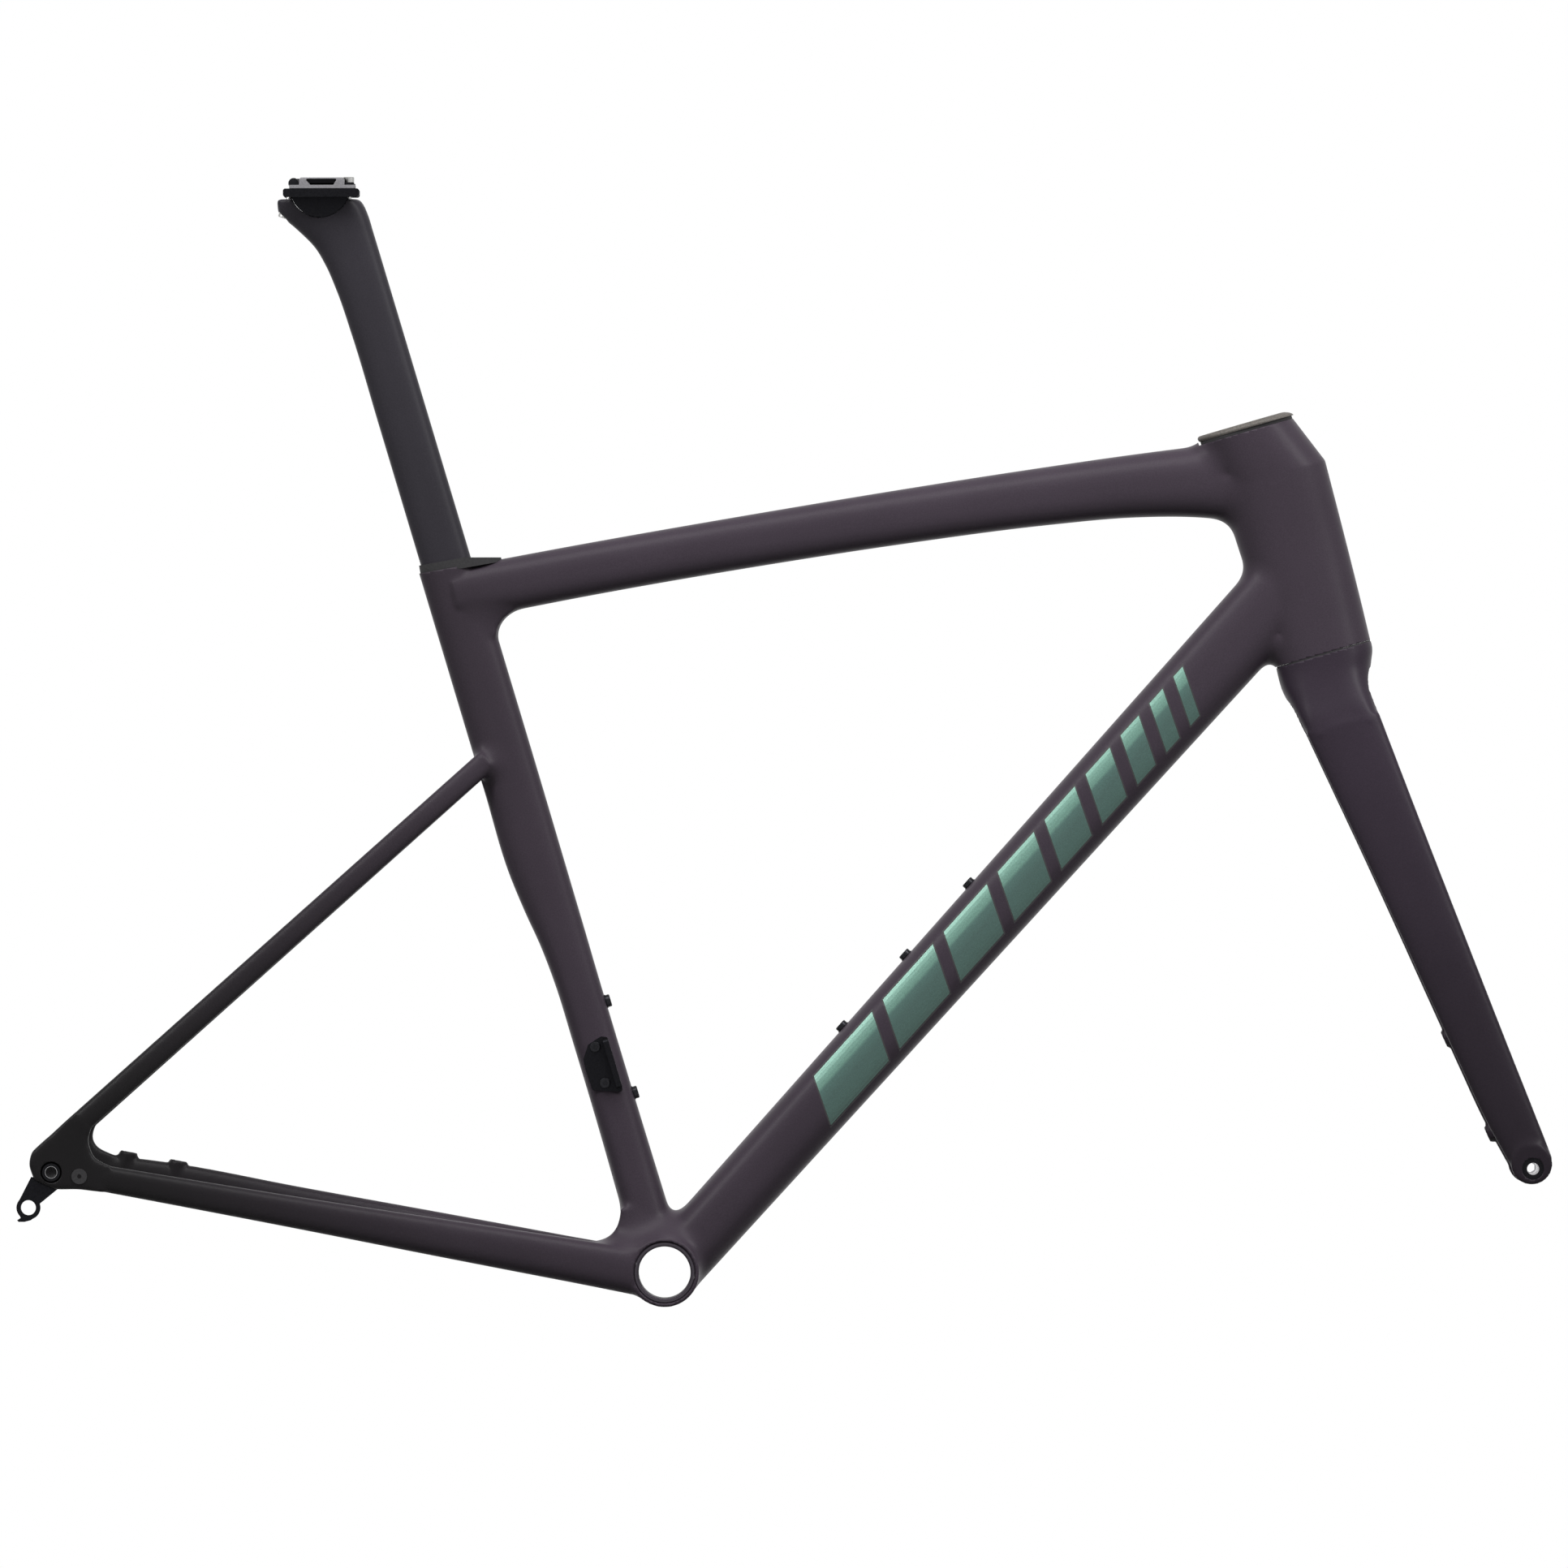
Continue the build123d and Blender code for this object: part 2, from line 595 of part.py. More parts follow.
hanger = stand_up(hanger_outline(), hanger_face - hanger_thickness, hanger_thickness)
hanger_ring = across(hanger_hole_x, hanger_hole_z, hanger_ring_radius, hanger_face - hanger_thickness,
                     hanger_face - hanger_thickness + hanger_ring_length)
tab_points = [
    (-431.0, 40.0), (-430.2, 38.0), (-432.6, 36.4), (-431.6, 35.3), (-427.6, 35.3), (-423.4, 36.4),
    (-419.6, 39.2),
]
hanger_tab = stand_up(make_face(Polyline(*tab_points, close=True)), hanger_face - hanger_thickness, 4.0)
hanger = hanger + hanger_ring + hanger_tab
hanger -= across(hanger_hole_x, hanger_hole_z, hanger_hole_radius, -hub_face - 20, -hub_face + 20)
hanger -= across(rear_axle_x, axle_z, axle_radius + thread_gap, -hub_face - 20, -hub_face + 20)
save("derailleur_hanger", largest(hanger))

grommet = across(grommet_x, grommet_z, grommet_radius - bond_gap, -dropout_face, -dropout_face + 4.5)
grommet += across(grommet_x, grommet_z, grommet_radius + 0.9, -dropout_face - 0.7, -dropout_face)
grommet -= across(grommet_x, grommet_z, 1.5, -dropout_face - 2, -dropout_face + 5)
save("shift_wire_grommet", largest(grommet))

# Brake-side dropout: a plain eye, with a steel-faced insert under the axle's head.
axle_head_radius = 9.0
insert_radius = 8.6
dropout_brake = dropout_body(chain_brake_sections[0], 1)
dropout_brake -= across(rear_axle_x, axle_z, insert_radius + bond_gap, hub_face - 1, dropout_face + 1)
save("dropout_brake_side", largest(dropout_brake))

rear_insert = across(rear_axle_x, axle_z, insert_radius, hub_face, dropout_face)
rear_insert -= across(rear_axle_x, axle_z, axle_radius + thread_gap, hub_face - 1, dropout_face + 1)
save("rear_axle_insert", rear_insert)


def thru_axle(x, near, far, head_thickness):
    """A hollow axle that screws in at the drive side; its keyed head stays outside the brake side."""
    shaft = across(x, axle_z, axle_radius, near, far)
    shaft += across(x, axle_z, axle_head_radius, far, far + head_thickness)
    shaft -= across(x, axle_z, axle_bore_radius, near - 1, far - 8)
    key = Plane(origin=(x, far - 9, axle_z), x_dir=(0, 0, 1), z_dir=(0, 1, 0))
    shaft -= hexagon(key, axle_hex_flats, head_thickness + 12)
    return largest(shaft)


rear_axle = thru_axle(rear_axle_x, -dropout_face + 1.2, dropout_face, 2.6)
save("rear_thru_axle", rear_axle)

# ================================================================ bottle mounts and derailleur plate
def down_boss_plane(along):
    """On the down tube's upper face, pointing away from it."""
    c, s = cos(radians(down_climb)), sin(radians(down_climb))
    depth = down_half_depth_low + (down_half_depth_high - down_half_depth_low) * along / down_length
    x, z = down_line(along)
    return Plane(origin=(x - depth * s, 0, z + depth * c), z_dir=(-s, 0, c))


def seat_boss_plane(along):
    """On the seat tube's front face, pointing forward."""
    return Plane(origin=seat(along, 18.2), z_dir=(seat_fore[0], 0, seat_fore[1]))


def boss_insert(plane):
    """A threaded insert with a round flange that sits in a shallow seat in the tube's skin."""
    body = rod(plane, boss_flange_radius, boss_flange_height, -boss_seat)
    body += rod(plane, boss_body_radius, boss_body_length, -boss_seat - boss_body_length)
    return largest(body - rod(plane, bottle_bolt_radius + bond_gap, 40, -30))


def boss_hole(plane):
    """What the insert takes out of the tube."""
    hole = rod(plane, boss_flange_radius + bond_gap, 10, -boss_seat)
    return hole + rod(plane, boss_body_radius + bond_gap, 8, -8)


def socket_bolt(plane, radius, length, head_radius, head_height, key_flats):
    """A cap bolt: its head stands on the plane, its shaft goes into it."""
    bolt = rod(plane, radius, length, -length)
    head = rod(plane, head_radius, head_height)
    rims = head.edges()
    top_rim = [rim for rim in rims if abs(plane.to_local_coords(rim.center()).Z - head_height) < 0.01]
    head = head.chamfer(0.5, None, top_rim)
    bolt += head
    return largest(bolt - hexagon(plane, key_flats, 10, head_height * 0.3))


boss_seat = 0.5
down_bosses = [down_boss_plane(down_boss_middle + step * bottle_pitch) for step in (-1, 0, 1)]
seat_bosses = [seat_boss_plane(seat_boss_low + step * bottle_pitch) for step in (0, 1)]


def bottle_bolt(plane):
    seated = plane.offset(boss_flange_height - boss_seat)
    head = bottle_head_radius, bottle_head_height, bottle_key_flats
    return socket_bolt(seated, bottle_bolt_radius, 9.0, *head)


save("down_tube_bottle_inserts", *[boss_insert(plane) for plane in down_bosses])
save("down_tube_bottle_bolts", *[bottle_bolt(plane) for plane in down_bosses])
save("seat_tube_bottle_inserts", *[boss_insert(plane) for plane in seat_bosses])
save("seat_tube_bottle_bolts", *[bottle_bolt(plane) for plane in seat_bosses])
for plane in down_bosses:
    down_tube -= boss_hole(plane)
for plane in seat_bosses:
    seat_tube -= boss_hole(plane)

# Front derailleur plate: lies on the seat tube's drive side, with a slotted tab that stands out.
plate_face = -15.0
plate_points = [
    (-50.8, 152.6), (-54.2, 142.8), (-52.5, 135.2), (-48.2, 122.1), (-27.5, 121.0), (-38.0, 157.6),
    (-42.5, 158.0),
]
derailleur_plate = side_plate(plate_points, plate_face, -6.0, 1.5)
tab = seat_plane(126.0, 10.5) * Pos(0, -19.5, 17.0) * Box(3.8, 13.0, 34.0)
tab = tab.fillet(2.5, tab.edges().filter_by(Axis((0, 0, 0), (seat_fore[0], 0, seat_fore[1]))))
tab_root = seat_plane(126.0, 10.5) * Pos(0, -12.5, 17.0) * Box(3.8, 7.0, 34.0)
seat_upward, seat_forward = (seat_up[0], 0, seat_up[1]), (seat_fore[0], 0, seat_fore[1])
slot_plane = Plane(origin=seat(143.0, 0, -20.5), x_dir=seat_upward, z_dir=seat_forward)
slot = extrude(slot_plane * SlotOverall(20.0, 5.2), amount=30)
derailleur_plate = derailleur_plate + tab + tab_root - slot - moulding(seat_stations, -bond_gap)
plate_screws = []
for x, z in ((-46.1, 151.0), (-39.6, 126.9)):
    screw_plane = Plane(origin=(x, plate_face, z), x_dir=(1, 0, 0), z_dir=(0, -1, 0))
    plate_screws.append(socket_bolt(screw_plane, 2.4, 8.0, 3.5, 2.2, 3.0))
    derailleur_plate -= rod(screw_plane, 2.4 + bond_gap, 20, -14)
    seat_tube -= rod(screw_plane, 2.4 + bond_gap, 20, -14)
save("front_derailleur_plate", largest(derailleur_plate))
save("front_derailleur_screws", *plate_screws)
save("seat_tube", largest(seat_tube))
save("down_tube", largest(down_tube))

# ================================================================ rubber collar and clamping wedge
seal_thickness = 5.3
seal_level = 479.2            # the collar's tongue is cut level with the top tube's back
seal_outline = oval(seat_top_plane.offset(0.02), 24.3, 30.9, 13.3, 2.6)
seal = Solid.extrude(Face(seal_outline), seat_top_plane.z_dir * seal_thickness)
seal -= beyond(Plane(origin=(-110, 0, seal_level), z_dir=(0, 0, 1)))
seal = largest(seal - socket)
save("seatpost_seal", seal)

ramp_tilt = 7.0
ramp_face = 28.0              # ramp ahead of the seat line, at its middle
shoe_length = 11.0            # short of the pocket's floor by its travel
shoe_lift = 2.7               # its middle, above the ramp's
housing_height = wedge_depth - 3.0
c, s = cos(radians(ramp_tilt)), sin(radians(ramp_tilt))
ramp_up = (seat_up[0] * c - seat_fore[0] * s, 0, seat_up[1] * c - seat_fore[1] * s)
ramp_fore = (seat_fore[0] * c + seat_up[0] * s, 0, seat_fore[1] * c + seat_up[1] * s)
ramp_plane = Plane(origin=seat(464.0, ramp_face), x_dir=ramp_fore, z_dir=ramp_up)
wedge_width = 2 * wedge_half_width - 2 * bond_gap
wedge_room = seat_plane(wedge_foot + bond_gap, (18.0 + wedge_reach) / 2 - bond_gap)
housing = wedge_room * Pos(0, 0, housing_height / 2) * Box(wedge_reach - 18.0, wedge_width, housing_height)
housing -= ramp_plane * Pos(-20, 0, 0) * Box(40, 30, 200)
ledge = ramp_plane * Pos(-3.5, 0, 14.0) * Box(7.1, wedge_width, 4.0)
housing += ledge
bolt_seat = ramp_plane.from_local_coords((-4.0, 0, 16.0))
bolt_plane = Plane(origin=bolt_seat, x_dir=ramp_plane.x_dir, z_dir=ramp_plane.z_dir)
wedge_bolt = socket_bolt(bolt_plane, 2.0, 21.5, 3.1, 2.4, 2.5)
housing -= rod(bolt_plane, 2.0 + bond_gap, 60, -45)
save("wedge_housing", largest(housing))
save("wedge_bolt", wedge_bolt)

shoe = ramp_plane * Pos(-6.0 - thread_gap, 0, shoe_lift) * Box(12.0, wedge_width - 0.3, shoe_length)
post_clear = seat_plane(400.0) * Pos(17.4 - 20, 0, 60) * Box(40, 40, 200)
shoe = largest(shoe - post_clear - rod(bolt_plane, 2.0 + thread_gap, 60, -45))
save("wedge_shoe", shoe)

# ================================================================ fork
crown_stations = [
    (steer_plane(crown_top), 38.0, 27.4, 27.0, 2.3), (steer_plane(354), 34.6, 28.0, 28.5, 2.6),
    (steer_plane(342), 31.2, 25.6, 31.0, 3.4), (steer_plane(330), 29.4, 23.0, 34.0, 5.0),
    (steer_plane(leg_joint), 29.9, 19.9, 36.0, 7.0),
]
# Each leg: distance along the steering axis, front edge, rear edge, how far the leg has spread (0 to 1).
leg_sections = [
    (leg_joint, 29.9, -19.9, 0.0), (280.0, 33.1, -13.9, 0.12), (242.0, 36.3, -7.8, 0.24),
    (184.0, 41.4, 1.0, 0.42), (127.0, 46.5, 9.3, 0.60), (80.0, 50.8, 16.2, 0.75),
    (37.0, 54.9, 23.0, 0.89), (14.0, 57.0, 28.2, 0.96), (fork_tip_rise, 57.9, 30.6, 1.0),
]
hub_half = front_hub_width / 2


def fork_leg(hand, shrink=0.0, foot=None):
    """One leg from the crown to the tip; shrink gives its inside, which can stop short at a foot."""
    outlines = []
    for along, front, rear, spread in leg_sections:
        if foot is not None and along < foot:
            continue
        half = leg_half_thickness_top + (leg_half_thickness_low - leg_half_thickness_top) * spread
        inner = fork_inner_top + (hub_half - fork_inner_top) * spread
        reach = (front - rear) / 2 - shrink
        plane = steer_plane(along, (front + rear) / 2)
        outlines.append(oval(plane, reach, reach, half - shrink, 2.6, hand * (inner + half)))
    return Solid.make_loft(outlines)


steerer_profile = rod(steer_plane(352), steerer_radius_foot, 34)
steerer_profile += Solid.make_cone(steerer_radius_foot, steerer_radius_top, 34, steer_plane(386))
steerer_profile += rod(steer_plane(420), steerer_radius_top, head_top + 0.5 - 420)
inside_foot, inside_top = steerer_radius_foot - steerer_wall, steerer_radius_top - steerer_wall
steerer_hollow = rod(steer_plane(350), inside_foot, 36)
steerer_hollow += Solid.make_cone(inside_foot, inside_top, 34, steer_plane(386))
steerer_hollow += rod(steer_plane(420), inside_top, 120)
save("steerer_tube", largest(steerer_profile - steerer_hollow))

front_axle_disc = Plane((front_axle_x, 0, axle_z), z_dir=(0, 1, 0))
fork_crown = moulding(crown_stations)
wheel_arch = rod(front_axle_disc, crown_arch_radius, 2 * fork_inner_top, -fork_inner_top)
wheel_arch = wheel_arch.fillet(crown_arch_rounding, wheel_arch.edges().filter_by(GeomType.CIRCLE))
fork_crown -= wheel_arch
fork_crown -= rod(steer_plane(352), steerer_radius_foot + bond_gap, 40)
shoulder = 14.0                # how far each leg's hollow runs up into the crown
for hand in (-1, 1):
    middle = hand * (fork_inner_top + leg_half_thickness_top)
    hollow_half_width = leg_half_thickness_top - 2.5
    hollow_ends = [(steer_plane(leg_joint - 1, 5.0), 22.4), (steer_plane(leg_joint + shoulder, 4.0), 16.0)]
    fork_crown -= Solid.make_loft([
        oval(plane, reach, reach, hollow_half_width, 2.6, middle) for plane, reach in hollow_ends
    ])
save("fork_crown", largest(fork_crown))

race_height = lower_bearing_foot - crown_top
crown_race = pipe(steer_plane(crown_top), 19.0, steerer_radius_foot + bond_gap, race_height)
save("crown_race", crown_race)

leg_rear_lean = 8.3            # each leg's rear edge leans this far from the steering axis


def leg_rear_plane(along):
    """On the brake-side leg's rear edge, pointing away from it; the caliper's bolts go in here."""
    rear = 9.3 + (16.2 - 9.3) * (127.0 - along) / 47.0
    spread = 1.0 - along / leg_joint
    y = fork_inner_top + (hub_half - fork_inner_top) * spread + leg_half_thickness_low + 1.8 * (1 - spread)
    c, s = cos(radians(leg_rear_lean)), sin(radians(leg_rear_lean))
    out = (-steer_fore[0] * c - steer_up[0] * s, 0, -steer_fore[1] * c - steer_up[1] * s)
    return Plane(origin=steer(along, rear, y), z_dir=out)


front_brake_high = 98.5        # upper bolt of the front brake, along the steering axis
front_brake_low = front_brake_high - front_brake_spacing * 0.99
front_brake_planes = [leg_rear_plane(front_brake_high), leg_rear_plane(front_brake_low)]
leg_inside_foot = 14.0
axle_eye_depth = 0.8
front_leg_face = hub_half + 2 * leg_half_thickness_low
tip_x, tip_z = front_axle_x - 0.8, axle_z + fork_tip_rise
for hand, side in ((-1, "drive"), (1, "brake")):
    leg = fork_leg(hand)
    tip = across(tip_x, tip_z, fork_tip_radius, hub_half + 0.15, front_leg_face - 0.15)
    leg += tip if hand > 0 else mirrored(tip)
    leg -= fork_leg(hand, 2.0, leg_inside_foot)
    near, far = sorted((hand * (hub_half - 1), hand * (front_leg_face + 1)))
    if hand > 0:
        for plane in front_brake_planes:
            leg += rod(plane, 5.9, 2.2, -0.6)
            leg -= rod(plane, 3.4 + bond_gap, 16, -12)
        leg -= across(front_axle_x, axle_z, axle_radius + thread_gap, near, far)
    else:
        leg -= across(front_axle_x, axle_z, axle_eye_radius + bond_gap, near, far)
    save(f"fork_leg_{side}_side", largest(leg))

front_brake_inserts = [pipe(plane, 3.4, brake_thread_radius, 12.0, -11.0) for plane in front_brake_planes]
save("front_brake_thread_inserts", *front_brake_inserts)

front_insert = across(front_axle_x, axle_z, axle_eye_radius, -front_leg_face + axle_eye_depth, -hub_half)
front_insert -= across(front_axle_x, axle_z, axle_radius + thread_gap, -front_leg_face - 1, -hub_half + 1)
save("front_axle_insert", front_insert)
front_axle = thru_axle(front_axle_x, -front_leg_face + 1.4, front_leg_face, 2.6)
save("front_thru_axle", front_axle)

# ================================================================ headset cover and what preloads it
ring_foot = upper_bearing_foot
cover_foot = head_top + cover_gap
cover_edge = cover_foot + cover_rim
preload_ring = pipe(steer_plane(ring_foot), upper_bearing_inner - bond_gap, steerer_radius_top + bond_gap,
                    cover_foot - ring_foot)
save("compression_ring", preload_ring)

cover = Solid.make_loft([
    oval(steer_plane(cover_foot), 30.6, 34.8, 29.4, 2.3),
    oval(steer_plane(cover_foot + 0.9), 30.2, 35.4, 29.7, 2.3),
    oval(steer_plane(cover_edge), 28.4, 35.6, 29.0, 2.3),
    oval(steer_plane(cover_edge + cover_crown), 22.6, 32.5, 24.0, 2.3),
])
cap_plane = steer_plane(cover_edge + cover_crown - 1.4)
cover -= rod(cap_plane, 6.2, 5)
cover -= rod(cap_plane, 3.0 + slide_gap, 20, -15)
save("headset_cover", largest(cover))

plug_radius = steerer_radius_top - steerer_wall - bond_gap
expander_plug = pipe(steer_plane(head_top - 42), plug_radius, 3.0 + bond_gap, 40)
save("expander_plug", expander_plug)
cap_bolt = socket_bolt(cap_plane, 3.0, 30.0, 5.6, 1.2, 5.0)
save("headset_cap_bolt", cap_bolt)

# ================================================================ seatpost and saddle clamp
post_sections = [
    (post_foot, post_half_depth, post_half_depth, post_half_width),
    (660, post_half_depth, post_half_depth, post_half_width), (692, post_half_depth, 18.1, 11.1),
    (711, post_half_depth, 20.4, 11.5), (724, 16.8, 23.8, 12.0), (735, 16.7, 28.0, 12.6),
    (743, 15.6, 31.8, 13.0), (751, 11.6, 36.6, 13.4), (768, 6.0, 43.0, 13.6),
]
post_shaft = [(seat_plane(t), fore, aft, half, 2.5) for t, fore, aft, half in post_sections[:2]]
post_head = [(seat_plane(t), fore, aft, half, 2.5) for t, fore, aft, half in eased(post_sections[1:], 3)]
head_level = Plane(origin=(drum_x, 0, post_head_top), z_dir=(0, 0, 1))
lip_face = Plane(origin=(-258.2, 0, post_head_top), x_dir=(0, 1, 0), z_dir=(-1, 0, -0.12))
drum_half_width = 13.2
seatpost = moulding(post_shaft) + Solid.make_loft([oval(*station) for station in post_head], True)
seatpost = seatpost - beyond(head_level) - beyond(lip_face)
post_hollow_reach = post_half_depth - post_wall
post_hollow_width = post_half_width - post_wall
post_hollow = (post_hollow_reach, post_hollow_reach, post_hollow_width, 2.5)
seatpost -= moulding([(seat_plane(post_foot - 1), *post_hollow), (seat_plane(712.0), *post_hollow)])
seatpost -= across(drum_x, drum_z, drum_seat_radius + turn_gap, -40, 40)

rear_bolt_rise = atan2(nut_z - rear_bolt_foot_z, nut_x - rear_bolt_foot_x)
rear_bolt_plane = Plane(origin=(rear_bolt_foot_x, 0, rear_bolt_foot_z), x_dir=(0, 1, 0),
                        z_dir=(cos(rear_bolt_rise), 0, sin(rear_bolt_rise)))
bolt_room = 0.9                # round the clamp bolts, which lean a little as the saddle tilts
head_room = 0.15               # over the rear bolt's head, which leans with the bolt
barrel_radius = 3.3            # barrel washer that the rear bolt leans on
barrel_half_width = 4.2
seatpost -= rod(rear_bolt_plane, 4.6, 14 + head_room, -14)
seatpost -= rod(rear_bolt_plane, clamp_bolt_radius + bolt_room, 40, -1)
barrel_reach = barrel_half_width + turn_gap
barrel_seat_radius = barrel_radius + turn_gap
seatpost -= across(rear_bolt_foot_x, rear_bolt_foot_z, barrel_seat_radius, -barrel_reach, barrel_reach)
front_bolt_foot = 702.0
seatpost -= rod(Plane((washer_x, 0, front_bolt_foot - 4.0)), clamp_bolt_radius + bolt_room, 40)
save("seatpost", largest(seatpost))

# The lower cradle is a drum with a plate on it; the plate's wings carry the saddle's two rails.
cradle = across(drum_x, drum_z, drum_seat_radius, -drum_half_width, drum_half_width)
cradle -= beyond(Plane(origin=(drum_x, 0, plate_top), z_dir=(0, 0, 1)))
wing_gap = 14.0                # the wings start outside the post's head
wing_width = clamp_half_width - wing_gap
wing_length = plate_front_x - plate_rear_x
wing_middle = (plate_front_x + plate_rear_x) / 2
for hand in (-1, 1):
    wing = Pos(wing_middle, hand * (wing_gap + wing_width / 2), plate_top - plate_thickness / 2) * Box(
        wing_length, wing_width, plate_thickness)
    cradle += wing.fillet(1.6, wing.edges().filter_by(Axis.Y))
centre_rear = drum_x - 17.6
centre_front = drum_x + 17.6
centre_plate = Box(centre_front - centre_rear, 2 * wing_gap + 1, plate_thickness)
cradle += Pos(drum_x, 0, plate_top - plate_thickness / 2) * centre_plate
front_notch = drum_x + 15.1
rear_notch = drum_x - 14.9
cradle -= Pos(front_notch + 10, 0, drum_z - 10) * Box(20, 8.4, 40)
cradle -= Pos(rear_notch - 10, 0, drum_z - 10) * Box(20, 8.4, 40)
rail_level = plate_top + 0.1
clamp_foot = plate_top + 0.2


def rail_groove(hand):
    """Space for one saddle rail, which lies along the frame between the two halves of the clamp."""
    plane = Plane(origin=(drum_x - 60, hand * rail_spacing / 2, rail_level), z_dir=(1, 0, 0))
    return rod(plane, rail_radius, 120)


upper_clamp = Pos(-227.75, 0, clamp_foot + 1.1) * Box(44.1, 2 * clamp_half_width, 2.2)
clamp_block = Box(30.4, 2 * clamp_half_width - 3, clamp_top - clamp_foot)
upper_clamp += Pos(-228.0, 0, (clamp_foot + clamp_top) / 2) * clamp_block
top_rims = [edge for edge in upper_clamp.edges() if edge.center().Z > clamp_top - 0.1]
upper_clamp = upper_clamp.chamfer(1.2, None, top_rims)
window = [(-239.4, 733.0), (-217.6, 733.0), (-220.3, 728.8), (-235.6, 728.8)]
for hand in (-1, 1):
    recess = side_plate(window, clamp_half_width - 5.5, clamp_half_width + 1, 0.8)
    upper_clamp -= recess if hand > 0 else mirrored(recess)
    upper_clamp -= rail_groove(hand)
    cradle -= rail_groove(hand)
save("saddle_lower_cradle", largest(cradle))

# The two bolt eyes stand out from the clamp's middle, behind and ahead of its body.
eye_half_width = 7.5
rear_eye = Pos(nut_x + 2.2, 0, clamp_foot + 3.3) * Box(9.0, 2 * eye_half_width, 6.6)
front_eye = Pos(washer_x, 0, clamp_foot + 1.5) * Box(9.2, 2 * eye_half_width, 3.0)
upper_clamp = upper_clamp + rear_eye + front_eye
upper_clamp -= across(nut_x, nut_z, nut_radius + bond_gap, -eye_half_width - 1, eye_half_width + 1)
nut_slot = Box(10.0, 2 * eye_half_width + 2, 2 * nut_radius + 2 * bond_gap)
upper_clamp -= Pos(nut_x - 5.0, 0, nut_z) * nut_slot
upper_clamp -= rod(rear_bolt_plane, clamp_bolt_radius + bolt_room, 60)
washer_radius = 4.1
front_head_room = 4.9          # the front bolt's head swings this far as the saddle tilts
eye_reach = eye_half_width + 1
upper_clamp -= across(washer_x, washer_z - 0.2, washer_radius + bond_gap, -eye_reach, eye_reach)
upper_clamp -= rod(Plane((washer_x, 0, front_bolt_foot)), clamp_bolt_radius + bolt_room, 60)
upper_clamp -= rod(Plane((washer_x, 0, washer_z)), front_head_room, 20)
save("saddle_upper_clamp", largest(upper_clamp))

rear_nut = across(nut_x, nut_z, nut_radius, -7.0, 7.0)
rear_nut -= rod(rear_bolt_plane, clamp_bolt_radius + nut_room, 60)
save("rear_barrel_nut", largest(rear_nut))
rear_bolt_length = sqrt((nut_x - rear_bolt_foot_x) ** 2 + (nut_z - rear_bolt_foot_z) ** 2) + 3.2
rear_bolt_down = Plane(origin=rear_bolt_plane.origin, x_dir=(0, 1, 0), z_dir=-rear_bolt_plane.z_dir)
rear_bolt = socket_bolt(rear_bolt_down, clamp_bolt_radius, rear_bolt_length, 3.6, 2.8, 3.0)
save("rear_clamp_bolt", rear_bolt)
rear_barrel = across(rear_bolt_foot_x, rear_bolt_foot_z, barrel_radius, -barrel_half_width, barrel_half_width)
rear_barrel -= beyond(rear_bolt_down) + rod(rear_bolt_plane, clamp_bolt_radius + bond_gap, 20, -2)
save("rear_barrel_washer", largest(rear_barrel))

washer_top = washer_z + 1.9
front_washer = across(washer_x, washer_z - 0.2, washer_radius, -6.5, 6.5)
front_washer -= beyond(Plane(origin=(washer_x, 0, washer_top), z_dir=(0, 0, 1)))
front_washer -= beyond(Plane(origin=(washer_x, 0, washer_z - 1.9), z_dir=(0, 0, -1)))
front_washer -= rod(Plane((washer_x, 0, front_bolt_foot)), clamp_bolt_radius + thread_gap, 60)
save("front_barrel_washer", largest(front_washer))
front_bolt_plane = Plane(origin=(washer_x, 0, washer_top), z_dir=(0, 0, 1))
front_bolt = socket_bolt(front_bolt_plane, clamp_bolt_radius, washer_top - front_bolt_foot, 3.8, 3.6, 3.0)
save("front_clamp_bolt", front_bolt)
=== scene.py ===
# %% [markdown]
# # A carbon road frameset
# The engineering model fixes every size, joint and mount. This script loads it, wraps the bonded
# tubes in one smooth moulded skin (a real carbon frame shows no seams), and gives every remaining
# part the finish it has on the real thing. Lengths in the tables are millimetres, because that is
# how a frame builder writes them; Blender itself works in metres.

# %% Load the engineering model
import json
import math
from math import copysign, cos, pi, radians, sin

import bmesh
import bpy
import numpy as np
from mathutils import Matrix, Vector
from mathutils.bvhtree import BVHTree


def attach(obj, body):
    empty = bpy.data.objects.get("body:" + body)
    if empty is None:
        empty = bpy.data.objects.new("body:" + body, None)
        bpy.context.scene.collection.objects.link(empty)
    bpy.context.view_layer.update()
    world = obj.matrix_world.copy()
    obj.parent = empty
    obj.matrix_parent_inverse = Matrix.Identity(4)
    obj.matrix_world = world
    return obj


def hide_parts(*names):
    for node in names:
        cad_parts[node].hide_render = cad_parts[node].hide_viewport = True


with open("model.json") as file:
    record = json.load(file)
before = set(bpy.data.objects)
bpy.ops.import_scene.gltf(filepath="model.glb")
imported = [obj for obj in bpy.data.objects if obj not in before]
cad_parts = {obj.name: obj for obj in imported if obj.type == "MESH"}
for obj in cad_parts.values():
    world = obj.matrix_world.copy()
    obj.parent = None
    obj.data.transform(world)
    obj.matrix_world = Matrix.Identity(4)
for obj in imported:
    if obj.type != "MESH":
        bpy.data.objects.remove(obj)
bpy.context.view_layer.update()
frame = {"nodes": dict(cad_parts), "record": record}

# %% [markdown]
# ## Three reference lines
# A frame is drawn in its side view. Three directions carry nearly everything: the seat line, the
# steering axis, and lines that climb at an angle (down tube, stays). Each small function below turns
# a distance along one of them into a row: where a tube's section sits, how its outline leans, how
# far it reaches forward and back, its half width, and how square its corners are.

